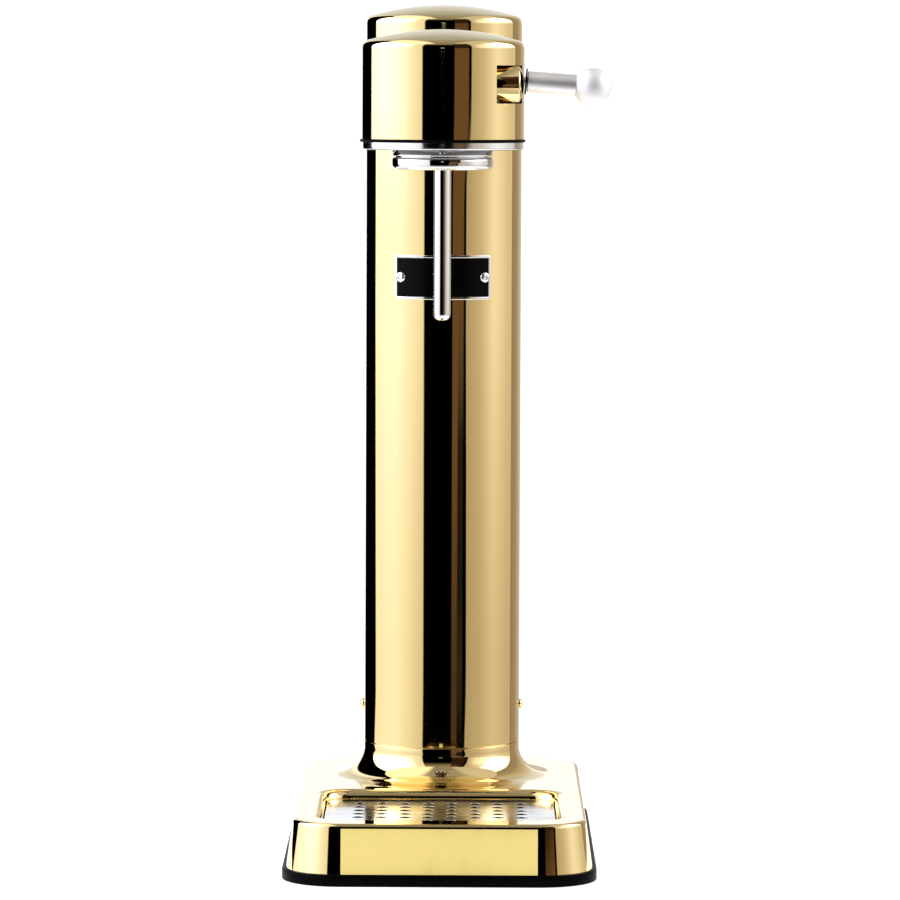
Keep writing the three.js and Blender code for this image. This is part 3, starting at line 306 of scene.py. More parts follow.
class Skin:
    """Patches of a surface, collected and then welded into one closed mesh."""

    def __init__(self):
        self.points = []
        self.faces = []
        self.count = 0

    def _take(self, places, faces, smooth):
        places = np.asarray(places, float).reshape(-1, 3)
        self.points.append(places)
        self.faces.append((np.asarray(faces, int) + self.count, smooth))
        self.count += len(places)

    def grid(self, places, round_u=True, round_v=False, keep=None):
        """Four-sided faces between the neighbours of a two-parameter grid of points."""
        rows, columns = places.shape[:2]
        u = np.arange(rows if round_u else rows - 1)[:, None]
        v = np.arange(columns if round_v else columns - 1)[None, :]
        next_u, next_v = (u + 1) % rows, (v + 1) % columns
        corners = ((u, v), (next_u, v), (next_u, next_v), (u, next_v))
        faces = points(*(row * columns + column for row, column in corners))
        if keep is not None:
            faces = faces[keep]
        self._take(places, faces.reshape(-1, 4), True)
        return self

    def tube(self, rings):
        """Closed rings in a row, with the first and the last drawn together to their middles."""
        first, last = (np.broadcast_to(ring.mean(axis=0), ring.shape)[None] for ring in rings[[0, -1]])
        return self.grid(np.concatenate([first, rings, last]), round_u=False, round_v=True)

    def shell(self, outer, inner, keep, round_u=True):
        """Two grids a wall apart, with windows where keep is false and a rim along every open edge."""
        self.grid(outer, round_u, keep=keep).grid(inner, round_u, keep=keep)
        cells = np.pad(keep, 1)
        if round_u:
            cells[0, 1:-1], cells[-1, 1:-1] = keep[-1], keep[0]
        after_u = cells[1:, 1:-1] != cells[:-1, 1:-1]
        i, j = np.nonzero(after_u[:-1] if round_u else after_u)
        self._rim(outer, inner, (i, j), (i, j + 1))
        i, j = np.nonzero(cells[1:-1, 1:] != cells[1:-1, :-1])
        self._rim(outer, inner, (i, j), ((i + 1) % len(outer), j))
        return self

    def _rim(self, outer, inner, start, end):
        corners = np.stack([outer[start], outer[end], inner[end], inner[start]], axis=1)
        self._take(corners, np.arange(len(corners) * 4).reshape(-1, 4), True)

    def fill(self, *loops):
        """Flat face inside the first closed loop, less the others, cut into triangles."""
        triangles = tessellate_polygon([[Vector(point) for point in loop] for loop in loops])
        self._take(np.concatenate(loops), np.array(triangles), False)
        return self

    def bands(self, *loops):
        """Faces between each closed loop and the next; all have the same number of points."""
        return self.grid(np.stack(loops, axis=1))

    def piece(self, name, finish):
        """Welds the patches, turns the faces outwards and makes the object, sharp past an angle."""
        mesh = bpy.data.meshes.new(name)
        faces = [list(face) for block, _ in self.faces for face in block]
        mesh.from_pydata(np.concatenate(self.points), [], faces)
        smooth = np.concatenate([np.full(len(block), flag) for block, flag in self.faces])
        mesh.polygons.foreach_set("use_smooth", smooth)
        work = bmesh.new()
        work.from_mesh(mesh)
        bmesh.ops.remove_doubles(work, verts=work.verts, dist=WELD_DISTANCE)
        bmesh.ops.delete(work, geom=[edge for edge in work.edges if edge.is_wire], context="EDGES")
        bmesh.ops.recalc_face_normals(work, faces=work.faces)
        loose = sum(not edge.is_manifold for edge in work.edges)
        work.to_mesh(mesh)
        work.free()
        if loose:
            print(f"{name}: {loose} open edges")
        smooth = np.zeros(len(mesh.polygons), bool)
        mesh.polygons.foreach_get("use_smooth", smooth)
        mesh.set_sharp_from_angle(angle=SHARP_ANGLE)
        mesh.polygons.foreach_set("use_smooth", smooth)
        mesh.materials.append(finish)
        made = bpy.data.objects.new(name, mesh)
        bpy.context.scene.collection.objects.link(made)
        return made


# Finishes

class Wire:
    """A node's output socket that takes part in Python sums; each sum adds its Math node."""

    def __init__(self, recipe, socket):
        self.recipe = recipe
        self.socket = socket

    def work(self, operation, *terms, clamp=False):
        """A Math node's result on some terms."""
        settings = {"operation": operation, "use_clamp": clamp}
        return self.recipe.node("ShaderNodeMath", settings, dict(enumerate(terms)))

    def __add__(self, other):
        return self.work("ADD", self, other)

    def __sub__(self, other):
        return self.work("SUBTRACT", self, other)

    def __rsub__(self, other):
        return self.work("SUBTRACT", other, self)

    def __mul__(self, other):
        return self.work("MULTIPLY", self, other)

    def __abs__(self):
        return self.work("ABSOLUTE", self)

    __radd__ = __add__
    __rmul__ = __mul__

    def clamped(self):
        """The value held between 0 and 1."""
        return self.work("ADD", self, 0.0, clamp=True)

    def slope(self, low, high, kind="LINEAR"):
        """0 below low, 1 above high and a straight rise between them."""
        limits = {"Value": self, "From Min": low, "From Max": high}
        return self.recipe.node("ShaderNodeMapRange", {"interpolation_type": kind}, limits)

    def ramp(self, low, high):
        """0 below low, 1 above high and a smooth step between them."""
        return self.slope(low, high, "SMOOTHSTEP")

    def window(self, low, high, soft):
        """1 between two limits and 0 outside them, with a smooth step inside each limit."""
        return self.ramp(low, low + soft) * (1 - self.ramp(high - soft, high))

    def levels(self, start, *changes):
        """A level that changes by an amount between two limits, for each (low, high, amount)."""
        total = start
        for low, high, amount in changes:
            total = total + self.slope(low, high) * amount
        return total


class Recipe:
    """A material's node tree, built one node at a time."""

    def __init__(self, name):
        self.material = bpy.data.materials.new(name)
        self.material.use_nodes = True
        self.tree = self.material.node_tree
        self.shader = self.tree.nodes["Principled BSDF"]

    def _feed(self, socket, value):
        if isinstance(value, Wire):
            self.tree.links.new(value.socket, socket)
        else:
            socket.default_value = value

    def node(self, kind, settings=None, values=None, output=0):
        """Adds a node with its settings and its sockets' values or links. Returns one output as a wire."""
        made = self.tree.nodes.new(kind)
        for key, value in (settings or {}).items():
            setattr(made, key, value)
        for key, value in (values or {}).items():
            self._feed(made.inputs[key], value)
        return Wire(self, made.outputs[output])

    def place(self, *scale):
        """The piece's own coordinates, stretched where a scale is given."""
        source = self.node("ShaderNodeTexCoord", output="Object")
        return self.node("ShaderNodeMapping", None, {"Vector": source, "Scale": scale or (1.0, 1.0, 1.0)})

    def axes(self, names="XYZ"):
        """The piece's own x, y and z, or those of them that are named."""
        source = self.node("ShaderNodeTexCoord", output="Object")
        return [self.node("ShaderNodeSeparateXYZ", None, {"Vector": source}, name) for name in names]

    def noise(self, vector, scale, detail, roughness=0.5):
        """Even noise from 0 to 1."""
        return self.node("ShaderNodeTexNoise", None, {
            "Vector": vector, "Scale": scale, "Detail": detail, "Roughness": roughness,
        }, "Fac")

    def mix(self, share, first, second):
        """Colour between two colours."""
        return self.node(
            "ShaderNodeMix", {"data_type": "RGBA"}, {"Factor": share, "A": first, "B": second}, "Result",
        )

    def set(self, **values):
        """Sets or links the shader's sockets; an underscore stands for a space."""
        for key, value in values.items():
            self._feed(self.shader.inputs[key.replace("_", " ")], value)

    def bump(self, height, strength, distance):
        """Feeds a height pattern to the shader's normal and returns the finished material."""
        self.set(Normal=self.node("ShaderNodeBump", None, {
            "Height": height, "Strength": strength, "Distance": distance,
        }, "Normal"))
        return self.material


def tint(colour, share=1.0):
    """A colour made darker or lighter by a share, with full alpha."""
    return (*(min(1.0, channel * share) for channel in colour[:3]), 1.0)


def polished(name, colour, roughness, ripple):
    """Mirror-polished metal: faint wiping marks in its roughness and a slight unevenness of the sheet."""
    recipe = Recipe(name)
    marks = recipe.noise(recipe.place(1.0, 1.0, 0.35), 90.0, 5.0, 0.65).ramp(0.45, 0.75)
    film = recipe.noise(recipe.place(), 14.0, 3.0).ramp(0.3, 0.7)
    recipe.set(
        Metallic=1.0,
        Base_Color=recipe.mix(film, tint(colour, 0.985), tint(colour)),
        Roughness=roughness + marks * 0.012 + film * 0.01,
    )
    return recipe.bump(recipe.noise(recipe.place(1.0, 1.0, 0.5), 22.0, 1.0), ripple, 0.0004)


def brushed(name, colour, roughness, stretch, depth):
    """Satin metal with fine grain drawn out along one axis."""
    recipe = Recipe(name)
    grain = recipe.noise(recipe.place(*stretch), 240.0, 6.0, 0.7)
    broad = recipe.noise(recipe.place(), 18.0, 3.0)
    recipe.set(
        Metallic=1.0,
        Base_Color=recipe.mix(grain, tint(colour, 0.88), tint(colour)),
        Roughness=roughness + grain * 0.08 + broad * 0.05,
    )
    return recipe.bump(grain, depth, 0.0001)


def moulded(name, colour, roughness, grain_scale, depth, gloss=0.5):
    """Rubber, plastic or enamel: fine surface grain, with slightly paler wear on its high spots."""
    recipe = Recipe(name)
    grain = recipe.noise(recipe.place(), grain_scale, 4.0, 0.6)
    broad = recipe.noise(recipe.place(), 30.0, 3.0)
    recipe.set(
        Base_Color=recipe.mix(grain.ramp(0.5, 0.8), tint(colour), tint(colour, 1.5)),
        Roughness=roughness + broad * 0.08,
        Specular_IOR_Level=gloss,
    )
    return recipe.bump(grain, depth, 0.0001)


def lacquered(name, colour):
    """Satin lacquer on a cylinder: orange-peel bump and small scuffs."""
    recipe = Recipe(name)
    peel = recipe.noise(recipe.place(), 420.0, 2.0)
    scuffs = recipe.noise(recipe.place(1.0, 1.0, 4.0), 130.0, 6.0, 0.75).ramp(0.62, 0.72)
    recipe.set(
        Metallic=0.3,
        Base_Color=recipe.mix(scuffs, tint(colour), tint(colour, 1.35)),
        Roughness=0.34 + scuffs * 0.2,
        Coat_Weight=0.3,
    )
    return recipe.bump(peel, 0.15, 0.0001)


def satin(name, colour, roughness):
    """Satin steel: soft smudges in its roughness and a slight unevenness."""
    recipe = Recipe(name)
    smudge = recipe.noise(recipe.place(0.5, 1.0, 1.0), 150.0, 3.0, 0.6)
    fine = recipe.noise(recipe.place(), 900.0, 3.0)
    recipe.set(
        Metallic=1.0,
        Base_Color=recipe.mix(fine, tint(colour, 0.97), tint(colour)),
        Roughness=roughness + smudge.ramp(0.4, 0.7) * 0.08,
    )
    return recipe.bump(smudge, 0.12, 0.0006)


def satin_painted_shade_below(name, colour, roughness, height):
    """Satin steel with a bright turned edge above a height and a lower face darkened below it as painted
    shade.
    """
    recipe = Recipe(name)
    up, = recipe.axes("Z")
    fine = recipe.noise(recipe.place(), 900.0, 3.0)
    recipe.set(
        Metallic=1.0,
        # Painted shade: below the height the steel is darkened to 0.16 of its colour
        Base_Color=recipe.mix(up.ramp(height, height + 0.0003), tint(colour, 0.16), tint(colour)),
        Roughness=roughness + fine * 0.04,
    )
    return recipe.bump(fine, 0.05, 0.0002)


# All finishes by the record's material slots, and some more for single pieces
FINISHES = {}


def make_finishes(colours):
    """Makes every finish of the maker from its colours."""
    light_steel = tint(colours.steel, 1.12)
    # Height up to which the underplate's lower face carries painted shade
    painted_shade_top = span("head_underplate")[0] + HAIR
    FINISHES.update({
        GOLD_SLOT: polished("polished_gold", colours.gold, 0.035, 0.02),
        STEEL_SLOT: polished("polished_steel", colours.steel, 0.06, 0.02),
        RUBBER_SLOT: moulded("black_rubber", colours.rubber, 0.32, 900.0, 0.12, 0.02),
        "black_enamel": moulded("black_enamel", colours.enamel, 0.2, 200.0, 0.03, 0.06),
        "black_plastic": moulded("black_plastic", colours.plastic, 0.45, 700.0, 0.2),
        "aluminium": brushed("satin_aluminium", colours.aluminium, 0.3, (1.0, 0.04, 1.0), 0.2),
        "brass": brushed("turned_brass", colours.brass, 0.22, (1.0, 1.0, 0.04), 0.15),
        "cylinder_metal": lacquered("cylinder_lacquer", colours.lacquer),
        "satin_rod": satin("satin_rod", light_steel, 0.45),
        "satin_ball": satin("satin_ball", light_steel, 0.6),
        "satin_ring_painted_shade": satin_painted_shade_below("satin_ring_painted_shade", colours.steel, 0.1, painted_shade_top),
        "satin_plate": satin("satin_plate", tint(colours.steel, 0.82), 0.12),
    })


def put(skin, name, slot, body, *nodes, finish=None):
    """Makes a piece from its skin and puts it on its body in place of its CAD nodes."""
    made = skin.piece(name, FINISHES[finish or slot])
    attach(made, body)
    if nodes:
        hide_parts(*nodes)
    return made


# Base

def pierced(rings, radius, count, centre):
    """Slab between the first and the last of a stack of rings, with an upright round hole through it."""
    low, high = rings[0][0, 2], rings[-1][0, 2]
    hole = turned(np.array([[radius, low], [radius, high]]), count, centre)
    return Skin().bands(*rings).grid(hole).fill(rings[0], hole[:, 0]).fill(rings[-1], hole[:, 1])


class MAKER_OT_foot(bpy.types.Operator):
    """Rubber foot: a rounded slab under the base with a hole for the gas cylinder"""

    bl_idname = "maker.foot"
    bl_label = "Rubber Foot"

    def execute(self, context):
        low, high = span("rubber_foot")
        edge = 0.0007
        rounding = [(edge, 0.0), (edge * 0.3, edge * 0.3), (0.0, edge)]
        levels = [(inset, low + rise) for inset, rise in rounding]
        levels += [(inset, high - rise) for inset, rise in reversed(rounding)]
        rings = inset_rings("rubber_foot", context.scene.maker_sizes.foot_corner, levels)
        cylinder_room = 0.0006
        skin = pierced(rings, radius_of("gas_cylinder") + cylinder_room, 96, TOWER[:2])
        put(skin, "foot_slab", RUBBER_SLOT, MACHINE, "rubber_foot")
        return {"FINISHED"}


def base_levels(sizes, depth):
    """Half sizes, corner and height of the base's skin at each level, a depth inside its outer face.

    The side leans in evenly with height; an arc of the top edge's radius then turns it level. The arc starts
    at the angle of the lean t0, so that inset = lean + edge (cos t0 - cos t) and z = centre + edge sin t.
    """
    half = half_size("base_shell")
    top = BASE_BOTTOM + BASE_RISE - depth
    edge = sizes.base_edge - depth
    corner = sizes.foot_corner - sizes.foot_ledge - depth
    slope = sizes.base_draft / BASE_RISE
    first = math.atan(slope)
    start = top - edge * (1 - math.sin(first))
    lean = slope * (start - BASE_BOTTOM)
    row_below = start - 0.0005
    runs = [(slope * (z - BASE_BOTTOM), z) for z in (BASE_BOTTOM, row_below)]
    for angle in np.linspace(first, RIGHT_ANGLE, 9):
        runs.append((lean + edge * (math.cos(first) - math.cos(angle)), top - edge * (1 - math.sin(angle))))
    return [(half[0] - depth - inset, half[1] - depth - inset, corner - inset, z) for inset, z in runs]


def pocket_levels(sizes, outside):
    """Half sizes, corner and height of the tray's pocket, from its rim's outer edge down to its floor.

    The rim is a convex quarter circle; the wall below it is straight.
    """
    x, y = half_size("drip_grille")[:2] + sizes.pocket_gap + outside
    corner = sizes.pocket_corner + outside
    radius = sizes.pocket_rim - outside
    levels = []
    for angle in np.linspace(RIGHT_ANGLE, 0, 11):
        out = radius * (1 - math.cos(angle))
        levels.append((x + out, y + out, corner + out, PLATE_TOP + radius * math.sin(angle)))
    return [*levels, (x, y, corner, span("drip_tray")[0] - HAIR - outside)]


def flare_profile(sizes, depth):
    """Concave quarter ellipse from the base's top to the tower's wall, a straight piece and a small edge."""
    seam = TOWER_BOTTOM - HAIR
    angle = np.linspace(0, RIGHT_ANGLE, 25)
    radius = TOWER_RADIUS + sizes.flare_reach - (sizes.flare_reach + depth) * np.sin(angle)
    height = seam - FLARE_RISE - depth + (sizes.flare_height + depth) * (1 - np.cos(angle))
    curve = points(radius, height)
    if depth > 0:
        return join_profile(curve, [radius[-1], seam])
    return join_profile(
        curve, fillet(SEAM_EDGE, 4, 0, RIGHT_ANGLE, (TOWER_RADIUS - SEAM_EDGE, seam - SEAM_EDGE)),
    )


class MAKER_OT_base(bpy.types.Operator):
    """Base shell: drafted sides, a pocket with a rounded rim and a concave flare up to the tower"""

    bl_idname = "maker.base"
    bl_label = "Base Shell"

    def execute(self, context):
        sizes = context.scene.maker_sizes
        centre = middle("drip_grille")[:2]
        skin = Skin()
        ends = []
        for depth in (0.0, sizes.wall):
            sides = [rounded_box(*level) for level in base_levels(sizes, depth)]
            pocket = [rounded_box(*level, centre) for level in pocket_levels(sizes, depth)]
            flare = turned(flare_profile(sizes, depth), 160, TOWER[:2])
            skin.bands(*sides).bands(*pocket).grid(flare)
            skin.fill(sides[-1], pocket[0], flare[:, 0]).fill(pocket[-1])
            ends.append((sides[0], flare[:, -1]))
        for outer, inner in zip(*ends):
            skin.bands(outer, inner)
        put(skin, "base_skin", GOLD_SLOT, MACHINE, "base_shell")
        return {"FINISHED"}


class MAKER_OT_tray(bpy.types.Operator):
    """Drip tray: a thin pan with a rounded bottom edge under the perforated plate"""

    bl_idname = "maker.tray"
    bl_label = "Drip Tray"

    def execute(self, context):
        sizes = context.scene.maker_sizes
        low, high = span("drip_tray")
        wall, edge, lip = 0.0009, 0.002, 0.0002
        inner = edge - wall
        floor = low + wall
        angle = np.linspace(0, RIGHT_ANGLE, 7)
        outside = [(edge * (1 - math.sin(a)), low + edge * (1 - math.cos(a))) for a in angle]
        rim = [(0.0, high - lip), (lip, high), (wall - lip, high), (wall, high - lip)]
        inside = [(wall + inner * (1 - math.cos(a)), floor + inner * (1 - math.sin(a))) for a in angle]
        rings = inset_rings("drip_tray", sizes.pocket_corner - sizes.pocket_gap, outside + rim + inside)
        skin = Skin().bands(*rings).fill(rings[0]).fill(rings[-1])
        put(skin, "tray_pan", "black_plastic", "tray", "drip_tray")
        return {"FINISHED"}


def hole_places(half, pitch):
    """Evenly spaced places either side of the middle, as many as fit in half a width."""
    count = math.floor(2 * half / pitch) + 1
    return (np.arange(count) - (count - 1) / 2) * pitch


class MAKER_OT_grille(bpy.types.Operator):
    """Perforated plate: a thin sheet with rows of round holes that have a fine lip"""

    bl_idname = "maker.grille"
    bl_label = "Perforated Plate"

    def execute(self, context):
        sizes = context.scene.maker_sizes
        low, high = span("drip_grille")
        half, centre = half_size("drip_grille"), middle("drip_grille")
        edge, lip = 0.0003, 0.00008
        soft = edge * 0.3
        side_margin, end_margin = 0.016, 0.013
        levels = [(edge, low), (0.0, low + edge), (0.0, high - edge), (soft, high - soft), (edge, high)]
        rings = inset_rings("drip_grille", sizes.pocket_corner - sizes.pocket_gap, levels)
        columns = hole_places(half[0] - side_margin, sizes.hole_pitch_across)
        rows = hole_places(half[1] - end_margin, sizes.hole_pitch_along)
        radius = sizes.hole_radius
        hole = turned(join_profile(
            fillet(lip, 4, RIGHT_ANGLE, math.pi, (radius + lip, high - lip)),
            [radius, high - 2 * lip], [radius, low],
        ), 24)
        spots = points(*np.meshgrid(columns + centre[0], rows + centre[1]), 0.0).reshape(-1, 3)
        holes = [hole + spot for spot in spots]
        skin = Skin().bands(*rings)
        for moved in holes:
            skin.grid(moved)
        skin.fill(rings[-1], *(moved[:, 0] for moved in holes))
        skin.fill(rings[0], *(moved[:, -1] for moved in holes))
        put(skin, "perforated_plate", STEEL_SLOT, "grille", "drip_grille", finish="satin_plate")
        return {"FINISHED"}


# Tower

def kept_cells(angles, heights, windows):
    """False where a cell's middle lies in a window of (first angle, last angle, low, high)."""
    after = np.roll(angles, -1)
    after[-1] += WHOLE_TURN
    middle_angle = np.mod((angles + after) / 2, WHOLE_TURN)[:, None]
    middle_height = ((heights[1:] + heights[:-1]) / 2)[None, :]
    keep = np.ones((len(angles), len(heights) - 1), bool)
    for first, last, low, high in windows:
        inside = np.mod(middle_angle - first, WHOLE_TURN) < np.mod(last - first, WHOLE_TURN)
        keep &= ~(inside & (middle_height > low) & (middle_height < high))
    return keep


def round_cover(sizes, centre, low, apex, levels, windows):
    """Outer and inner grid of a round wall with its dome, and the cells that its windows leave.

    Each grid has a row of points at each level, and one at each side of a window.
    """
    edges = [edge for window in windows for edge in window[:2]]
    angles = np.unique(np.concatenate([turns(192), np.mod(edges, WHOLE_TURN)]))
    grids = []
    for depth in (0.0, sizes.wall):
        crown = crown_profile(sizes, TOWER_RADIUS, apex, depth)
        row_below = crown[0, 1] - 0.0006
        wall = points(TOWER_RADIUS - depth, np.array([low, *levels, row_below]))
        grids.append(turned(join_profile(wall, crown), angles, centre))
    return *grids, kept_cells(angles, grids[0][0, :, 2], windows)


def neck_top(sizes):
    """Height of the neck's flat top."""
    return HEAD_TOP - sizes.neck_drop


def neck_passage(sizes, side):
    """Window that the neck leads through: its angles about the y direction of side, and its heights."""
    spread = math.asin((sizes.neck_waist - 2 * sizes.wall) / TOWER_RADIUS)
    turn = side * RIGHT_ANGLE
    return turn - spread, turn + spread, HEAD_BOTTOM, neck_top(sizes) - 2 * sizes.wall


class MAKER_OT_tower(bpy.types.Operator):
    """Tower tube: a straight round wall with a shallow dome, open below and towards the neck"""

    bl_idname = "maker.tower"
    bl_label = "Tower Tube"

    def execute(self, context):
        sizes = context.scene.maker_sizes
        centre = TOWER[:2]
        passage = neck_passage(sizes, -1)
        levels = [TOWER_BOTTOM + SEAM_EDGE, *passage[2:]]
        outer, inner, keep = round_cover(sizes, centre, TOWER_BOTTOM, TOWER_TOP, levels, [passage])
        outer[:, 0, :2] = centre + (outer[:, 0, :2] - centre) * (1 - SEAM_EDGE / TOWER_RADIUS)
        put(Skin().shell(outer, inner, keep), "tower_skin", GOLD_SLOT, MACHINE, "tower_tube")
        return {"FINISHED"}


def label_ring(half_arc, half_height, corner):
    """Closed path of a rounded rectangle on the unrolled wall, with extra points along its long sides."""
    steps = 7
    path = rounded_box(half_arc, half_height, corner, 0.0, steps=steps, lead=0)[:, :2]
    along = np.linspace(-1, 1, 25)[1:-1] * (half_arc - corner)
    top, bottom = points(-along, half_height), points(along, -half_height)
    return np.concatenate([path[:steps], top, path[steps:3 * steps], bottom, path[3 * steps:]])


def round_tower(path, radius, height):
    """Rolls a flat path round the tower's front: its first coordinate is arc length, its second height."""
    angle = path[..., 0] / TOWER_RADIUS - RIGHT_ANGLE
    x, y = TOWER[0] + radius * np.cos(angle), TOWER[1] + radius * np.sin(angle)
    return points(x, y, height + path[..., 1])


def label_sheet(half_arc, half_height, corner, radius, height):
    """Rounded rectangle rolled round the tower, as rings drawn in from its edge to its middle line.

    Each ring point lies a share of the way from the edge to the nearest point of the middle line.
    """
    path = label_ring(half_arc, half_height, corner)
    line = points(np.clip(path[:, 0], corner - half_arc, half_arc - corner), 0.0)
    share = np.linspace(0, 1, 6)[None, :, None]
    return round_tower(path[:, None] * (1 - share) + line[:, None] * share, radius, height)


class MAKER_OT_name_plate(bpy.types.Operator):
    """Name plate: a curved steel plate with a raised border round a bare black field"""

    bl_idname = "maker.name_plate"
    bl_label = "Name Plate"

    def execute(self, context):
        low, high = extent("name_plate")
        front, back = float(TOWER[1] - low[1]), TOWER_RADIUS + HAIR
        half_arc = math.asin(float(high[0]) / front) * TOWER_RADIUS
        half_height = float(half_size("name_plate")[2])
        height = float(middle("name_plate")[2])
        border, sunk, edge, corner, sharp_corner = 0.0013, 0.0006, 0.0003, 0.0015, 0.0004
        soft = edge * 0.3
        steps = [
            (0.0, back), (0.0, front - edge), (soft, front - soft), (edge, front),
            (border - edge, front), (border - soft, front - soft), (border, front - edge),
            (border, front - sunk),
        ]
        rings = []
        for inset, radius in steps:
            outline = label_ring(half_arc - inset, half_height - inset, max(corner - inset, sharp_corner))
            rings.append(round_tower(outline, radius, height))
        arc, rise = half_arc - border, half_height - border
        plate = Skin().bands(*rings).grid(label_sheet(half_arc, half_height, corner, back, height))
        plate.grid(label_sheet(arc, rise, sharp_corner, front - sunk, height))
        put(plate, "name_plate_border", STEEL_SLOT, MACHINE, "name_plate")
        faces = (front - 0.0004, front - sunk + HAIR)
        outline = arc - HAIR, rise - HAIR, sharp_corner
        field = Skin()
        for radius in faces:
            field.grid(label_sheet(*outline, radius, height))
        field.bands(*(round_tower(label_ring(*outline), radius, height) for radius in reversed(faces)))
        put(field, "name_plate_panel", "black_enamel", MACHINE, "name_plate_field")
        return {"FINISHED"}


def star_screw(origin, axis, radius, height):
    """Round-headed screw with a six-lobed socket of half its radius and half its height.

    The head's profile is an arc from its rim to its crown; inside the socket each ring's radius swells and
    shrinks six times a turn: socket * (0.86 + 0.14 cos 6a).
    """
    count = 72
    socket, drop, root = radius * 0.5, height * 0.5, -0.0003
    angle = turns(count)[:, None]
    plain = np.ones_like(angle)
    lobes = socket * (0.86 + 0.14 * np.cos(6 * angle))
    start = math.asin(socket / radius)
    lean = RIGHT_ANGLE + (start - RIGHT_ANGLE) * np.linspace(0, 1, 9)[None, :]
    radii = [
        plain * 0, plain * radius, plain * radius * np.sin(lean), lobes * 1.04, lobes * 0.97, lobes * 0.9,
        plain * 0,
    ]
    heights = [
        plain * root, plain * root, plain * height * (np.cos(lean) / math.cos(start)), plain * height,
        plain * (height - drop * 0.12), plain * (height - drop), plain * (height - drop * 1.15),
    ]
    return turned_about(np.concatenate(radii, axis=1), np.concatenate(heights, axis=1), origin, axis, count)


class MAKER_OT_small_screws(bpy.types.Operator):
    """Visible screws: two low on the tower, two in the name plate and four round the bottle collar"""

    bl_idname = "maker.small_screws"
    bl_label = "Visible Screws"

    def execute(self, context):
        sunk, shoulder_radius = 0.0003, 0.0232
        plate_seat = float(TOWER[1] - extent("name_plate")[0][1]) - sunk
        sides = ["side_screw_right", "side_screw_left"]
        plate = ["name_screw_right", "name_screw_left"]
        shoulder = [f"collar_screw_{number}" for number in range(1, 5)]
        # Name, CAD nodes, middle of the round wall, its radius, the head's radius and height, and the metal
        groups = (
            ("tower_screw", sides, TOWER, TOWER_RADIUS + HAIR, 0.0024, 0.0017, GOLD_SLOT),
            ("plate_screw", plate, TOWER, plate_seat, 0.0026, 0.0011, STEEL_SLOT),
            ("shoulder_screw", shoulder, HEAD, shoulder_radius, 0.0015, 0.0008, STEEL_SLOT),
        )
        for name, nodes, centre, reach, radius, height, slot in groups:
            for number, node in enumerate(nodes, 1):
                spot = middle(node)
                out = (spot - centre) * [1, 1, 0]
                out /= np.linalg.norm(out)
                seat = np.array([centre[0], centre[1], spot[2]]) + out * reach
                skin = Skin().grid(star_screw(seat, out, radius, height))
                put(skin, f"{name}_{number}", slot, MACHINE, node)
        return {"FINISHED"}


# Gas cylinder and spring

class MAKER_OT_cylinder(bpy.types.Operator):
    """Gas cylinder: a round bottom edge with a dished foot, a straight wall and a round shoulder"""

    bl_idname = "maker.cylinder"
    bl_label = "Gas Cylinder"

    def execute(self, context):
        bottom, top = span("gas_cylinder")
        radius = radius_of("gas_cylinder")
        edge, dish, neck, neck_height, shoulder = 0.006, 0.019, 0.012, 0.006, 0.026
        around = np.linspace(0, RIGHT_ANGLE, 17)
        profile = join_profile(
            [0.0, bottom + 0.003], [dish * 0.6, bottom + 0.0022], [dish, bottom + 0.0004],
            [dish + 0.001, bottom], [radius - edge, bottom],
            fillet(edge, 8, -RIGHT_ANGLE, 0, (radius - edge, bottom + edge)),
            points(
                neck + (radius - neck) * np.cos(around), top - neck_height - shoulder * (1 - np.sin(around)),
            ),
            [neck, top], [0.0, top],
        )
        skin = Skin().grid(turned(profile, 96, TOWER[:2]))
        put(skin, "cylinder_body", "cylinder_metal", "cylinder", "gas_cylinder")
        return {"FINISHED"}


class MAKER_OT_spring(bpy.types.Operator):
    """Return spring: one wire wound as a helix whose end curls lie close together"""

    bl_idname = "maker.spring"
    bl_label = "Return Spring"

    def execute(self, context):
        curls = context.scene.maker_sizes.spring_curls
        low, high = span("return_spring")
        wire, radius, closing = 0.00065, 0.0052, 0.06
        share = np.linspace(0, 1, 48 * curls + 1)
        angle = WHOLE_TURN * curls * share
        eased = share - closing * np.sin(2 * WHOLE_TURN * share) / WHOLE_TURN
        outward = points(np.cos(angle), np.sin(angle), 0.0)
        line = outward * radius + points(TOWER[0], TOWER[1], low + wire + (high - low - 2 * wire) * eased)
        round_wire = turns(12)[None, :, None]
        upward = np.array([0.0, 0.0, 1.0])
        tube = line[:, None] + wire * (np.cos(round_wire) * outward[:, None] + np.sin(round_wire) * upward)
        coil = put(Skin().tube(tube), "spring_coil", STEEL_SLOT, MACHINE, "return_spring")
        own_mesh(coil)
        return {"FINISHED"}


# Head

class MAKER_OT_head(bpy.types.Operator):
    """Head cover: a round wall with its dome, a window for the lever's barrel and a passage to the neck"""

    bl_idname = "maker.head"
    bl_label = "Head Cover"

    def execute(self, context):
        sizes = context.scene.maker_sizes
        gap, past_pivot, lower_edge = 0.0003, 0.0043, 0.0003
        half = BARREL_RADIUS + gap
        left, behind = PIVOT[0] - HEAD[0] + past_pivot, PIVOT[1] - HEAD[1] + half
        first, last = -math.acos(left / TOWER_RADIUS), math.asin(behind / TOWER_RADIUS)
        window = (first, last, PIVOT[2] - half, PIVOT[2] + half)
        passage = neck_passage(sizes, 1)
        levels = [HEAD_BOTTOM + lower_edge, *window[2:], passage[3]]
        skin = Skin().shell(*round_cover(sizes, HEAD[:2], HEAD_BOTTOM, HEAD_TOP, levels, [window, passage]))
        # Level strips inside the wall along the window's lower and upper edge
        inner, outer, thick = 0.03, TOWER_RADIUS - sizes.wall, 0.0008
        for low in (window[2] - thick - HAIR, window[3] + HAIR):
            section = [[inner, low], [outer, low], [outer, low + thick], [inner, low + thick]]
            skin.tube(turned(np.array(section), np.linspace(first, last, 25), HEAD[:2]))
        put(skin, "head_skin", GOLD_SLOT, MACHINE, "head_shell")
        return {"FINISHED"}


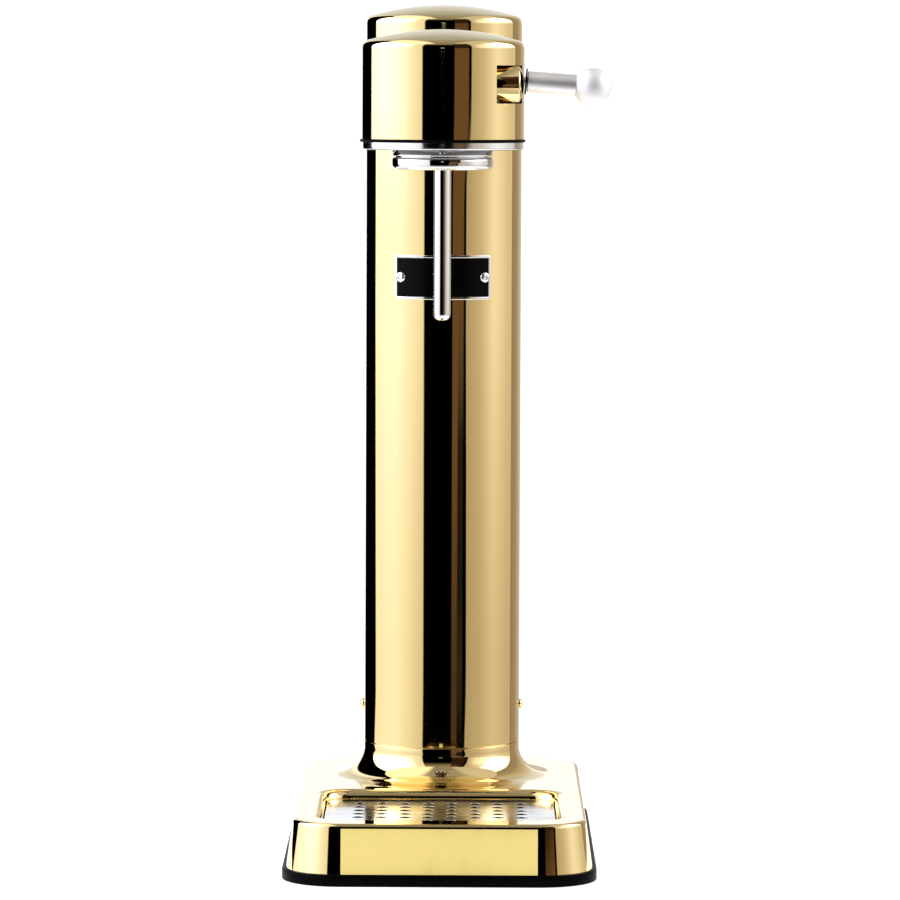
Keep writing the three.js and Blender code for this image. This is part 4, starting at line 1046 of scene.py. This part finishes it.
def neck_width(sizes, along, grow):
    """Half the neck's width at a distance from the head's middle: a parabola from root to waist to root."""
    share = along / ARM_REACH
    root = sizes.neck_root + grow
    waist = 2 * (sizes.neck_waist + grow) - root
    return root * ((1 - share) ** 2 + share ** 2) + 2 * waist * share * (1 - share)


def neck_section(sizes, depth):
    """Grid of the neck's skin: up one side, over the rounded top and down the other, from round to round.

    A point's share of the width is fixed along each line, and its line runs from the head's circle to the
    tower's; its place across follows from the parabola of the width, found by going over it until it rests.
    """
    edge = sizes.neck_edge - depth
    top = neck_top(sizes) - depth
    side = [(1.0, 0.0, HEAD_BOTTOM)]
    for angle in np.linspace(0, RIGHT_ANGLE, 7):
        side.append((1.0, edge * (1 - math.cos(angle)), top - edge * (1 - math.sin(angle))))
    half = np.array(side + [(share, 0.0, top) for share in (0.6, 0.3, 0.0)])
    share, inset, height = np.concatenate([half, half[-2::-1] * [-1, -1, 1]]).T
    run = np.linspace(0, 1, 33)[:, None]
    along = run * ARM_REACH
    sunk, clear = 0.0006, 0.0002
    for _ in range(30):
        width = neck_width(sizes, along, -depth)
        across = np.where(np.abs(share) < 1, share * (width - edge), share * width - inset)
        start = np.sqrt(TOWER_RADIUS ** 2 - across ** 2) - sunk
        end = ARM_REACH - np.sqrt((TOWER_RADIUS + clear) ** 2 - across ** 2)
        along = start + (end - start) * run
    return points(HEAD[0] + across, HEAD[1] + along, height)


class MAKER_OT_neck(bpy.types.Operator):
    """Neck cover: concave sides and a flat top with rounded edges, from the head's wall to the tower's"""

    bl_idname = "maker.neck"
    bl_label = "Neck Cover"

    def execute(self, context):
        sizes = context.scene.maker_sizes
        outer, inner = (neck_section(sizes, depth) for depth in (0.0, sizes.wall))
        keep = np.ones((outer.shape[0] - 1, outer.shape[1] - 1), bool)
        put(Skin().shell(outer, inner, keep, round_u=False), "neck_skin", GOLD_SLOT, MACHINE)
        return {"FINISHED"}


def meeting(sizes, grow, radius, from_tower):
    """Distance from the head's middle where the neck's edge meets a circle about the head or the tower."""
    reach = np.linspace(0, ARM_REACH / 2, 400)
    along = ARM_REACH - reach if from_tower else reach
    gap = np.hypot(neck_width(sizes, along, grow), reach) - radius
    return float(np.interp(0, gap, along))


def underside_path(sizes, grow):
    """Open outline of the head and neck seen from below, grown sideways: tower, neck, round, neck, tower."""
    first = meeting(sizes, grow, TOWER_RADIUS + grow, False)
    tower_gap = 0.0003
    last = meeting(sizes, grow, TOWER_RADIUS + tower_gap, True)
    along = np.linspace(last, first, 16)
    side = points(neck_width(sizes, along, grow), along)
    start = math.atan2(side[-1, 1], side[-1, 0])
    angle = np.linspace(start, -math.pi - start, 120)[1:-1]
    front = (TOWER_RADIUS + grow) * points(np.cos(angle), np.sin(angle))
    return np.concatenate([side, front, side[::-1] * [-1, 1]]) + HEAD[:2]


def underside_loop(sizes, grow, height):
    """The outline closed along the tower's round, at one height."""
    path = underside_path(sizes, grow)
    last, first = path[-1] - TOWER[:2], path[0] - TOWER[:2]
    start, end = (math.atan2(spot[1], spot[0]) for spot in (last, first))
    angle = np.linspace(start, end, 24)[1:-1]
    close = TOWER[:2] + np.hypot(*first) * points(np.cos(angle), np.sin(angle))
    return points(*np.concatenate([path, close]).T, height)


class MAKER_OT_gasket(bpy.types.Operator):
    """Gasket: a black lip with a rounded outer edge along the lower edge of the head and the neck"""

    bl_idname = "maker.gasket"
    bl_label = "Head Gasket"

    def execute(self, context):
        sizes = context.scene.maker_sizes
        low, high = span("head_gasket")
        half, level = (high - low) / 2, (low + high) / 2
        proud, width = 0.0007, 0.0035
        turn = np.linspace(-RIGHT_ANGLE, RIGHT_ANGLE, 9)
        section = [(proud - half * (1 - math.cos(a)), level + half * math.sin(a)) for a in turn]
        section += [(-width, high), (-width, low)]
        rows = [points(*underside_path(sizes, grow).T, height) for grow, height in section]
        put(Skin().tube(np.stack(rows, axis=1)), "gasket_lip", RUBBER_SLOT, MACHINE, "head_gasket")
        return {"FINISHED"}


class MAKER_OT_underplate(bpy.types.Operator):
    """Underplate: a steel plate with a rolled lower edge that closes the head and the neck from below"""

    bl_idname = "maker.underplate"
    bl_label = "Head Underplate"

    def execute(self, context):
        sizes = context.scene.maker_sizes
        low, high = span("head_underplate")
        inset, edge, hole = 0.0003, 0.0009, 0.0093
        turn = np.linspace(0, RIGHT_ANGLE, 6)
        levels = [(edge * (1 - math.sin(a)), low + edge * (1 - math.cos(a))) for a in turn]
        levels += [(0.0, low + edge + 0.0004), (0.0, high)]
        loops = [underside_loop(sizes, -inset - back, z) for back, z in levels]
        skin = pierced(loops, hole, 64, HEAD[:2])
        # The plate's finish paints shade on its lower face
        put(skin, "underplate_skin", STEEL_SLOT, MACHINE, "head_underplate", finish="satin_ring_painted_shade")
        return {"FINISHED"}


class MAKER_OT_collar(bpy.types.Operator):
    """Bottle collar with its sloped shoulder, its rubber seal and the carbonation tube"""

    bl_idname = "maker.collar"
    bl_label = "Collar, Seal and Tube"

    def execute(self, context):
        for name, profile, count, slot, node in (
            ("collar_cup", self.collar(), 160, STEEL_SLOT, "bottle_collar"),
            ("seal_ring", self.seal(), 96, RUBBER_SLOT, "bottle_seal"),
            ("tube_body", self.tube(), 64, STEEL_SLOT, "carbonation_tube"),
        ):
            put(Skin().grid(turned(profile, count, HEAD[:2])), name, slot, MACHINE, node)
        return {"FINISHED"}

    @staticmethod
    def collar():
        """Profile of a cup, open below, with a hub round the tube and a groove between band and shoulder."""
        bottom, top = span("bottle_collar")
        radius = radius_of("bottle_collar")
        groove, half_groove = top - 0.0032, 0.0002
        groove_radius, hub_face, roof = radius - 0.0018, bottom + 0.0015, bottom + 0.0065
        mouth, hub, bore = 0.0205, 0.0075, 0.00445
        lower, edge, upper, chamfer = 0.0026, 0.0013, 0.0006, 0.0003
        hub_edge, mouth_edge, band_step, top_step = 0.0004, 0.0005, 0.0002, 0.0013
        band = join_profile(
            fillet(lower, 9, -RIGHT_ANGLE, 0, (radius - lower, bottom + lower)),
            fillet(edge, 6, 0, RIGHT_ANGLE, (radius - edge, groove - half_groove - edge)),
            [groove_radius, groove - half_groove], [groove_radius, groove + half_groove],
            fillet(upper, 4, -RIGHT_ANGLE, 0.3, (radius - band_step - upper, groove + half_groove + upper)),
            fillet(upper, 4, 0.5, RIGHT_ANGLE, (radius - top_step - upper, top - upper)),
        )
        return join_profile(
            band, [bore, top], [bore, hub_face + chamfer], [bore + chamfer, hub_face],
            [hub - hub_edge, hub_face], [hub, hub_face + hub_edge], [hub, roof], [mouth, roof],
            [mouth, bottom + mouth_edge], [mouth + mouth_edge, bottom], band[:1],
        )

    @staticmethod
    def seal():
        """Profile of a flat rubber ring with a raised bead on its lower face."""
        low, high = span("bottle_seal")
        outer, inner, face = 0.0202, 0.0078, low + 0.0004
        bead_radius, bead_middle = 0.0009, 0.0155
        bead = fillet(bead_radius, 8, math.pi, WHOLE_TURN, (bead_middle, face))
        ring = join_profile([inner, high], [inner, face], bead, [outer, face], [outer, high], [inner, high])
        ring[:, 1] = np.maximum(ring[:, 1], low)
        return ring

    @staticmethod
    def tube():
        """Profile of a bored tube whose tip closes round a fine hole."""
        tip, top = span("carbonation_tube")
        radius = radius_of("carbonation_tube")
        hole, nose, bore = 0.0009, 0.0032, 0.0022
        turn = np.linspace(0, RIGHT_ANGLE, 13)
        round_tip = points(hole + (radius - hole) * np.sin(turn), tip + nose * (1 - np.cos(turn)))
        return join_profile(
            round_tip, [radius, top], [bore, top], [bore, tip + nose], [hole, tip + nose - bore + hole],
            round_tip[:1],
        )


# Lever

BARREL_DOME = 0.0175
LEVER_OFFSET = 0.0029
WASHER_START = BARREL_DOME + 0.0003
ROD_START = WASHER_START + 0.0009
ROD_END = ROD_START + 0.02346
ROD_END_RADIUS = 0.00515
STEM_RADIUS = 0.0023
SIDEWAYS = (0.0, 1.0, 0.0)


class MAKER_OT_lever(bpy.types.Operator):
    """Lever: a round rod with its eye and finger, the washer behind it and the ball on its end"""

    bl_idname = "maker.lever"
    bl_label = "Lever"

    def execute(self, context):
        droop = context.scene.maker_sizes.lever_droop
        along = np.array([math.cos(droop), 0.0, -math.sin(droop)])
        up = np.array([math.sin(droop), 0.0, math.cos(droop)])
        line = PIVOT + LEVER_OFFSET * up
        rod, washer, ball = (
            Skin().grid(turned_about(*profile.T, line, along, 96))
            for profile in (self.rod(), self.washer(), self.ball())
        )
        self.eye_and_finger(rod, along, up)
        put(rod, "lever_rod", STEEL_SLOT, "lever", "lever_arm", finish="satin_rod")
        put(washer, "washer_ring", RUBBER_SLOT, "lever", "lever_washer")
        put(ball, "ball_grip", STEEL_SLOT, "lever", "lever_ball", finish="satin_ball")
        return {"FINISHED"}

    @staticmethod
    def rod():
        """Profile of the rod, with a stem at each end."""
        start, end, edge, stem, chamfer = 0.00495, ROD_END_RADIUS, 0.0006, 0.002, 0.0003
        stem_end = ROD_END + 0.0082
        return join_profile(
            [0.0, 0.0], [STEM_RADIUS, 0.0], [STEM_RADIUS, ROD_START],
            fillet(edge, 5, -RIGHT_ANGLE, 0, (start - edge, ROD_START + edge)),
            [end + 0.00002, ROD_END - 0.0004], [end - chamfer, ROD_END], [stem, ROD_END],
            [stem, ROD_END + 0.0079], [stem - chamfer, stem_end], [0.0, stem_end],
        )

    @staticmethod
    def eye_and_finger(skin, along, up):
        """The eye that turns on the pin, and the finger with its knuckle that lies under the rocker."""
        inner, outer, half = STEM_RADIUS, 0.005, 0.0023
        eye = join_profile([inner, -half], [outer, -half], [outer, half], [inner, half], [inner, -half])
        skin.grid(turned_about(*eye.T, PIVOT, SIDEWAYS, 48))
        radius, half = 0.0033, 0.0022
        knuckle = join_profile([0.0, -half], [radius, -half], [radius, half], [0.0, half])
        reach, drop, finger = 0.0086, 0.000375, 0.0055
        tip = PIVOT - reach * along - drop * up
        skin.grid(turned_about(*knuckle.T, tip, SIDEWAYS, 48))
        across, rise = np.array([0.0, 0.0021, 0.0]), 0.0018 * up
        corners = np.stack([across + rise, -across + rise, -across - rise, across - rise])
        skin.tube(np.stack([tip + corners, tip + finger * along + corners]))

    @staticmethod
    def washer():
        """Profile of a flat ring with rounded outer edges."""
        hole, outer, thick = 0.0026, 0.0062, 0.0007
        half = thick / 2
        turn = fillet(half, 8, -RIGHT_ANGLE, RIGHT_ANGLE, (outer - half, WASHER_START + half))
        return join_profile([hole, WASHER_START], turn, [hole, WASHER_START + thick], [hole, WASHER_START])

    @staticmethod
    def ball():
        """Profile of a sphere flattened where it meets the rod, bored for the rod's stem."""
        radius = 0.0091
        start, floor = ROD_END + HAIR, ROD_END + 0.0083
        centre = start + math.sqrt(radius ** 2 - ROD_END_RADIUS ** 2)
        lean = np.linspace(math.asin(ROD_END_RADIUS / radius), math.pi, 49)
        sphere = points(radius * np.sin(lean), centre - radius * np.cos(lean))
        return join_profile([0.0, floor], [STEM_RADIUS, floor], [STEM_RADIUS, start], sphere)


class MAKER_OT_barrel(bpy.types.Operator):
    """Lever barrel: a bar with a domed end centred on the pivot, slotted from below for the lever"""

    bl_idname = "maker.barrel"
    bl_label = "Lever Barrel"

    def execute(self, context):
        radius, edge = BARREL_RADIUS, 0.0004
        soft = edge * 0.3
        start = float(extent("lever_barrel")[0][0]) - PIVOT[0]
        lean = np.linspace(math.asin(radius / BARREL_DOME), 0, 17)
        dome = BARREL_DOME * points(np.sin(lean), np.cos(lean))
        rim = dome[0, 1]
        profile = join_profile(
            [0.0, start], [radius - edge, start], [radius, start + edge],
            [radius, rim - edge], [radius - soft, rim - soft], dome[1:],
        )
        skin = Skin().grid(turned_about(*profile.T, PIVOT, (1.0, 0.0, 0.0), 128))
        made = put(skin, "barrel_body", GOLD_SLOT, MACHINE, "lever_barrel")
        slot = self.slot_tool(radius)
        cut = made.modifiers.new("Slot", "BOOLEAN")
        cut.operation = "DIFFERENCE"
        cut.solver = "EXACT"
        cut.object = slot
        mesh = bpy.data.meshes.new_from_object(made.evaluated_get(context.evaluated_depsgraph_get()))
        made.modifiers.clear()
        made.data = mesh
        mesh.set_sharp_from_angle(angle=SHARP_ANGLE)
        bpy.data.objects.remove(slot)
        return {"FINISHED"}

    @staticmethod
    def slot_tool(radius):
        """Box from below the barrel to a little above its axis, through both of its ends."""
        half, top, past = 0.0027, 0.0059, 0.002
        low, high = (float(corner[0]) for corner in extent("lever_barrel"))
        bottom = -radius - past
        y = PIVOT[1] + np.array([-half, half, half, -half])
        z = PIVOT[2] + np.array([top, top, bottom, bottom])
        return Skin().tube(np.stack([points(x, y, z) for x in (low - past, high + past)])).piece(
            "slot_tool", FINISHES[GOLD_SLOT],
        )


# CAD nodes that stay

class MAKER_OT_inner_parts(bpy.types.Operator):
    """Finishes of the inner parts, which keep their CAD shapes"""

    bl_idname = "maker.inner_parts"
    bl_label = "Inner Parts"

    def execute(self, context):
        slots = {row["node"]: row["material_slot"] for row in frame["record"]["subparts"]}
        for node, made in frame["nodes"].items():
            if not made.hide_render:
                made.data.materials.clear()
                made.data.materials.append(FINISHES[slots[node]])
        return {"FINISHED"}


# Studio

WHITE = (1.0, 1.0, 1.0, 1.0)
WARM_WHITE = (1.0, 0.86, 0.69, 1.0)
COOL_WHITE = (1.0, 1.0, 1.18, 1.0)
UPPER_WHITE = (0.97, 1.0, 1.05, 1.0)
STRIP_COLOUR = (1.0, 0.56, 0.3, 1.0)
PANEL_COLOUR = (1.0, 1.02, 0.73, 1.0)
RING_RADIUS = 3.8
RING_LOW = -1.1
RING_HIGH = 4.6
RING_THICK = 0.02
CLOSING_RADIUS = 3.83


def stage_piece(profile, count, name, finish, seen):
    """Makes a round piece of the studio, seen by the camera or only in reflections and as light."""
    made = Skin().grid(turned(profile, count)).piece(name, finish)
    made.visible_camera = seen


def disc(radius, low, high):
    """Profile of a flat round plate."""
    return np.array([[0.0, low], [radius, low], [radius, high], [0.0, high]])


def light_piece(profile, count, name, pattern, strength):
    """Makes a piece whose light follows a pattern built from its own coordinates."""
    recipe = Recipe(name)
    colour, level = pattern(recipe)
    values = {"Color": colour, "Strength": level * strength}
    light = recipe.node("ShaderNodeEmission", None, values, "Emission")
    recipe.tree.links.new(light.socket, recipe.tree.nodes["Material Output"].inputs["Surface"])
    stage_piece(profile, count, name, recipe.material, False)


def left_light(angle, z):
    """Broad light on the left: dimmer towards the front, brighter high up, its edges leaning low down."""
    light = angle.levels(1.22, (-107, -93, 0.09), (-72, -29, -0.43))
    light = light * z.levels(0.89, (-0.353, -0.237, 0.04), (-0.237, -0.06, 0.07), (-0.06, 0.115, 0.1))
    light = light * (1 + z.levels(0.0, (0.2, 0.35, 0.4), (0.45, 0.9, 1.6)) * (1 - angle.slope(-80, -40)))
    lean = z.levels(0.0, (-0.44, -0.37, 4.0), (-0.34, 0.12, -4.0))
    light = light * angle.ramp(lean - 120.2, lean - 118.4)
    return light * (1 - angle.ramp(0.2 * lean - 29.3, 0.2 * lean - 27.3))


def right_light(angle, z, shift):
    """Broad light on the right: bright in the middle of its run, dimmer low down, brighter high up."""
    light = angle.levels(
        0.5, (38.8, 58.4, 0.15), (58.4, 80, 0.35), (86, 98.6, -0.1), (98.6, 113, -0.15), (122, 125, -0.46),
        (125, 131, 0.07), (139, 161, 0.29),
    )
    weight = z.levels(0.44, (-0.353, -0.237, 0.12), (-0.237, -0.06, 0.185), (-0.06, 0.115, 0.255))
    light = light - (light - 0.5).clamped() * (1 - weight)
    edge = 35.0 + 5.8 * shift
    edge = edge + z.levels(0.0, (-0.44, -0.37, 2.2), (-0.34, -0.1, -0.9), (-0.1, 0.08, -1.3))
    light = light * angle.ramp(edge - 0.4, edge + 0.4)
    above = z.levels(0.0, (0.45, 0.6, 0.8), (2.0, 4.0, -0.75)) * angle.slope(40, 55)
    above = above + 2.0 * z.slope(0.7, 1.4) * angle.slope(72, 85)
    return light * (1 + above * (1 - angle.slope(118, 124)))


def warm_strip(angle, z, shift):
    """Mask of the warm strip right of the front, wider high up and with a dimmer rest beside it low down."""
    start = angle.ramp(14.0 + 2.0 * shift, 15.5 + 2.0 * shift)
    rest = z.levels(
        0.0, (-0.44, -0.37, 0.4), (-0.34, -0.25, -0.28), (-0.06, 0.013, 0.43), (0.013, 0.13, 0.45),
    )
    rest = start * rest * (1 - angle.ramp(30.5, 32.0))
    widen = 14.0 * z.ramp(0.1, 0.35)
    strip = start * (1 - angle.ramp(21.9 + widen, 23.5 + widen))
    return strip + (1 - strip) * rest


def ring_light(recipe):
    """Colour and strength of the ring of light by the angle from the front in degrees, and the height.

    Towards the front it is dark, with a warm strip on its right and a small light panel round the camera;
    to the left and right it is bright; behind the object it is dark low down and brightest just above that.
    """
    x, y, z = recipe.axes()
    angle = x.work("ARCTAN2", x, -1.0 * y) * (180 / math.pi)
    shift = z.ramp(0.24, 0.35)
    rear_left = 1.3 * (1 - angle.ramp(-160.0, -157.0))
    back = abs(angle).ramp(160.0, 170.0) * z.ramp(0.44, 0.5)
    upper = z.levels(1.3, (0.6, 0.68, -0.37), (0.68, 1.93, -0.25), (1.93, 2.5, -0.2), (2.5, 4.6, -0.11))
    front = 0.3 * z.ramp(2.0, 4.2) * (1 - abs(angle).ramp(26.0, 34.0))
    panel = angle.window(-3.0, 2.64, 0.3) * z.window(0.455, 0.545, 0.01)
    strip = warm_strip(angle, z, shift)
    strip_level = strip * z.levels(0.075, (-0.35, -0.24, 0.0375), (-0.24, -0.06, 0.0375), (0.42, 0.5, -0.12))
    sides = left_light(angle, z) + right_light(angle, z, shift) + rear_left
    plain = sides * (1 - back) + upper * back + front
    colour = recipe.mix(plain.slope(0.45, 1.05), WARM_WHITE, WHITE)
    colour = recipe.mix(plain.slope(1.05, 1.35), colour, COOL_WHITE)
    for mask, shade in ((back, UPPER_WHITE), (strip, STRIP_COLOUR), (panel, PANEL_COLOUR)):
        colour = recipe.mix(mask, colour, shade)
    return colour, plain * (1 - strip * (1 - front)) + strip_level + panel * 1.04


def ceiling_light(recipe):
    """Dim warm light, bright along the left and right sides."""
    x, y = recipe.axes("XY")
    sides = 1.1 * (1 - x.ramp(-1.3, -0.6)) + 0.35 * x.ramp(0.9, 1.7)
    return (1.0, 0.96, 0.9, 1.0), y.levels(0.3, (-1.5, 0.0, 0.07)) + sides


def ground_light(recipe):
    """Soft light that stands for a wide floor, brighter to its sides."""
    x, = recipe.axes("X")
    return (1.0, 0.98, 0.95, 1.0), abs(x).levels(0.6, (0.6, 2.0, 0.6))


class MAKER_OT_studio(bpy.types.Operator):
    """Studio: a pale floor, a ring of light walls with dark gaps, a light above and below, and the camera"""

    bl_idname = "maker.studio"
    bl_label = "Studio and Camera"

    def execute(self, context):
        studio = context.scene.studio_settings
        self.floor()
        inner, outer, low, high = RING_RADIUS, RING_RADIUS + RING_THICK, RING_LOW, RING_HIGH
        section = np.array([[inner, low], [inner, high], [outer, high], [outer, low], [inner, low]])
        above = disc(CLOSING_RADIUS, RING_HIGH, RING_HIGH + RING_THICK)
        below = disc(CLOSING_RADIUS, RING_LOW - RING_THICK, RING_LOW)
        light_piece(section, 240, "light_wall", ring_light, studio.light)
        light_piece(above, 96, "light_above", ceiling_light, studio.light)
        light_piece(below, 96, "light_below", ground_light, studio.light)
        self.room(context.scene, studio)
        self.camera(context.scene, studio)
        return {"FINISHED"}

    @staticmethod
    def floor():
        """Round white plate a hair below the foot, bright enough to lose its edge against the room."""
        recipe = Recipe("pale_floor")
        speckle = recipe.noise(recipe.place(), 60.0, 3.0)
        pale = recipe.mix(speckle, (0.93, 0.93, 0.93, 1), (0.95, 0.95, 0.95, 1))
        recipe.set(
            Base_Color=pale, Roughness=0.9, Specular_IOR_Level=0.1, Emission_Color=pale,
            Emission_Strength=0.8,
        )
        radius, thick, gap = 0.3, 0.02, 0.0002
        stage_piece(disc(radius, -thick, -gap), 96, "floor", recipe.material, True)

    @staticmethod
    def room(scene, studio):
        """Plain bright room behind everything."""
        scene.world = bpy.data.worlds.new("room")
        scene.world.use_nodes = True
        backdrop = scene.world.node_tree.nodes["Background"]
        backdrop.inputs["Color"].default_value = (1, 1, 1, 1)
        backdrop.inputs["Strength"].default_value = studio.room
        scene.view_settings.view_transform = "Standard"
        scene.view_settings.look = "None"

    @staticmethod
    def camera(scene, studio):
        """Camera that looks from its place at its aim."""
        data = bpy.data.cameras.new("camera")
        data.lens = studio.camera_lens
        data.sensor_width = 36.0
        data.clip_start, data.clip_end = 0.05, 60.0
        made = bpy.data.objects.new("camera", data)
        made.location = studio.camera_place
        look = Vector(studio.camera_aim) - Vector(studio.camera_place)
        made.rotation_mode = "QUATERNION"
        made.rotation_quaternion = look.to_track_quat("-Z", "Y") @ Quaternion((0, 0, 1), studio.camera_roll)
        scene.collection.objects.link(made)
        scene.camera = made


OPERATORS = (
    MAKER_OT_foot, MAKER_OT_base, MAKER_OT_tray, MAKER_OT_grille, MAKER_OT_tower, MAKER_OT_name_plate,
    MAKER_OT_small_screws, MAKER_OT_cylinder, MAKER_OT_spring, MAKER_OT_head, MAKER_OT_neck, MAKER_OT_gasket,
    MAKER_OT_underplate, MAKER_OT_collar, MAKER_OT_lever, MAKER_OT_barrel, MAKER_OT_inner_parts,
    MAKER_OT_studio,
)


class MAKER_PT_panel(bpy.types.Panel):
    """Panel in the 3D view's sidebar that lists the maker's pieces, sizes and colours"""

    bl_idname = "MAKER_PT_panel"
    bl_label = "Water Maker"
    bl_space_type = "VIEW_3D"
    bl_region_type = "UI"
    bl_category = "Water Maker"

    def draw(self, context):
        scene = context.scene
        for operator in OPERATORS:
            self.layout.operator(operator.bl_idname)
        for settings in (scene.maker_sizes, scene.maker_colours, scene.studio_settings):
            box = self.layout.box()
            for name in type(settings).__annotations__:
                box.prop(settings, name)


CLASSES = (MakerSizes, MakerColours, StudioSettings, *OPERATORS, MAKER_PT_panel)


def register():
    """Registers the classes and hangs the settings on the scene."""
    for made in CLASSES:
        bpy.utils.register_class(made)
    bpy.types.Scene.maker_sizes = PointerProperty(type=MakerSizes)
    bpy.types.Scene.maker_colours = PointerProperty(type=MakerColours)
    bpy.types.Scene.studio_settings = PointerProperty(type=StudioSettings)


def unregister():
    """Takes the settings and the classes away again."""
    del bpy.types.Scene.studio_settings
    del bpy.types.Scene.maker_colours
    del bpy.types.Scene.maker_sizes
    for made in reversed(CLASSES):
        bpy.utils.unregister_class(made)


def main():
    """Registers the classes, makes the finishes, then builds every piece and the studio."""
    register()
    make_finishes(bpy.context.scene.maker_colours)
    for operator in OPERATORS:
        group, name = operator.bl_idname.split(".")
        getattr(getattr(bpy.ops, group), name)()


if __name__ == "__main__":
    main()
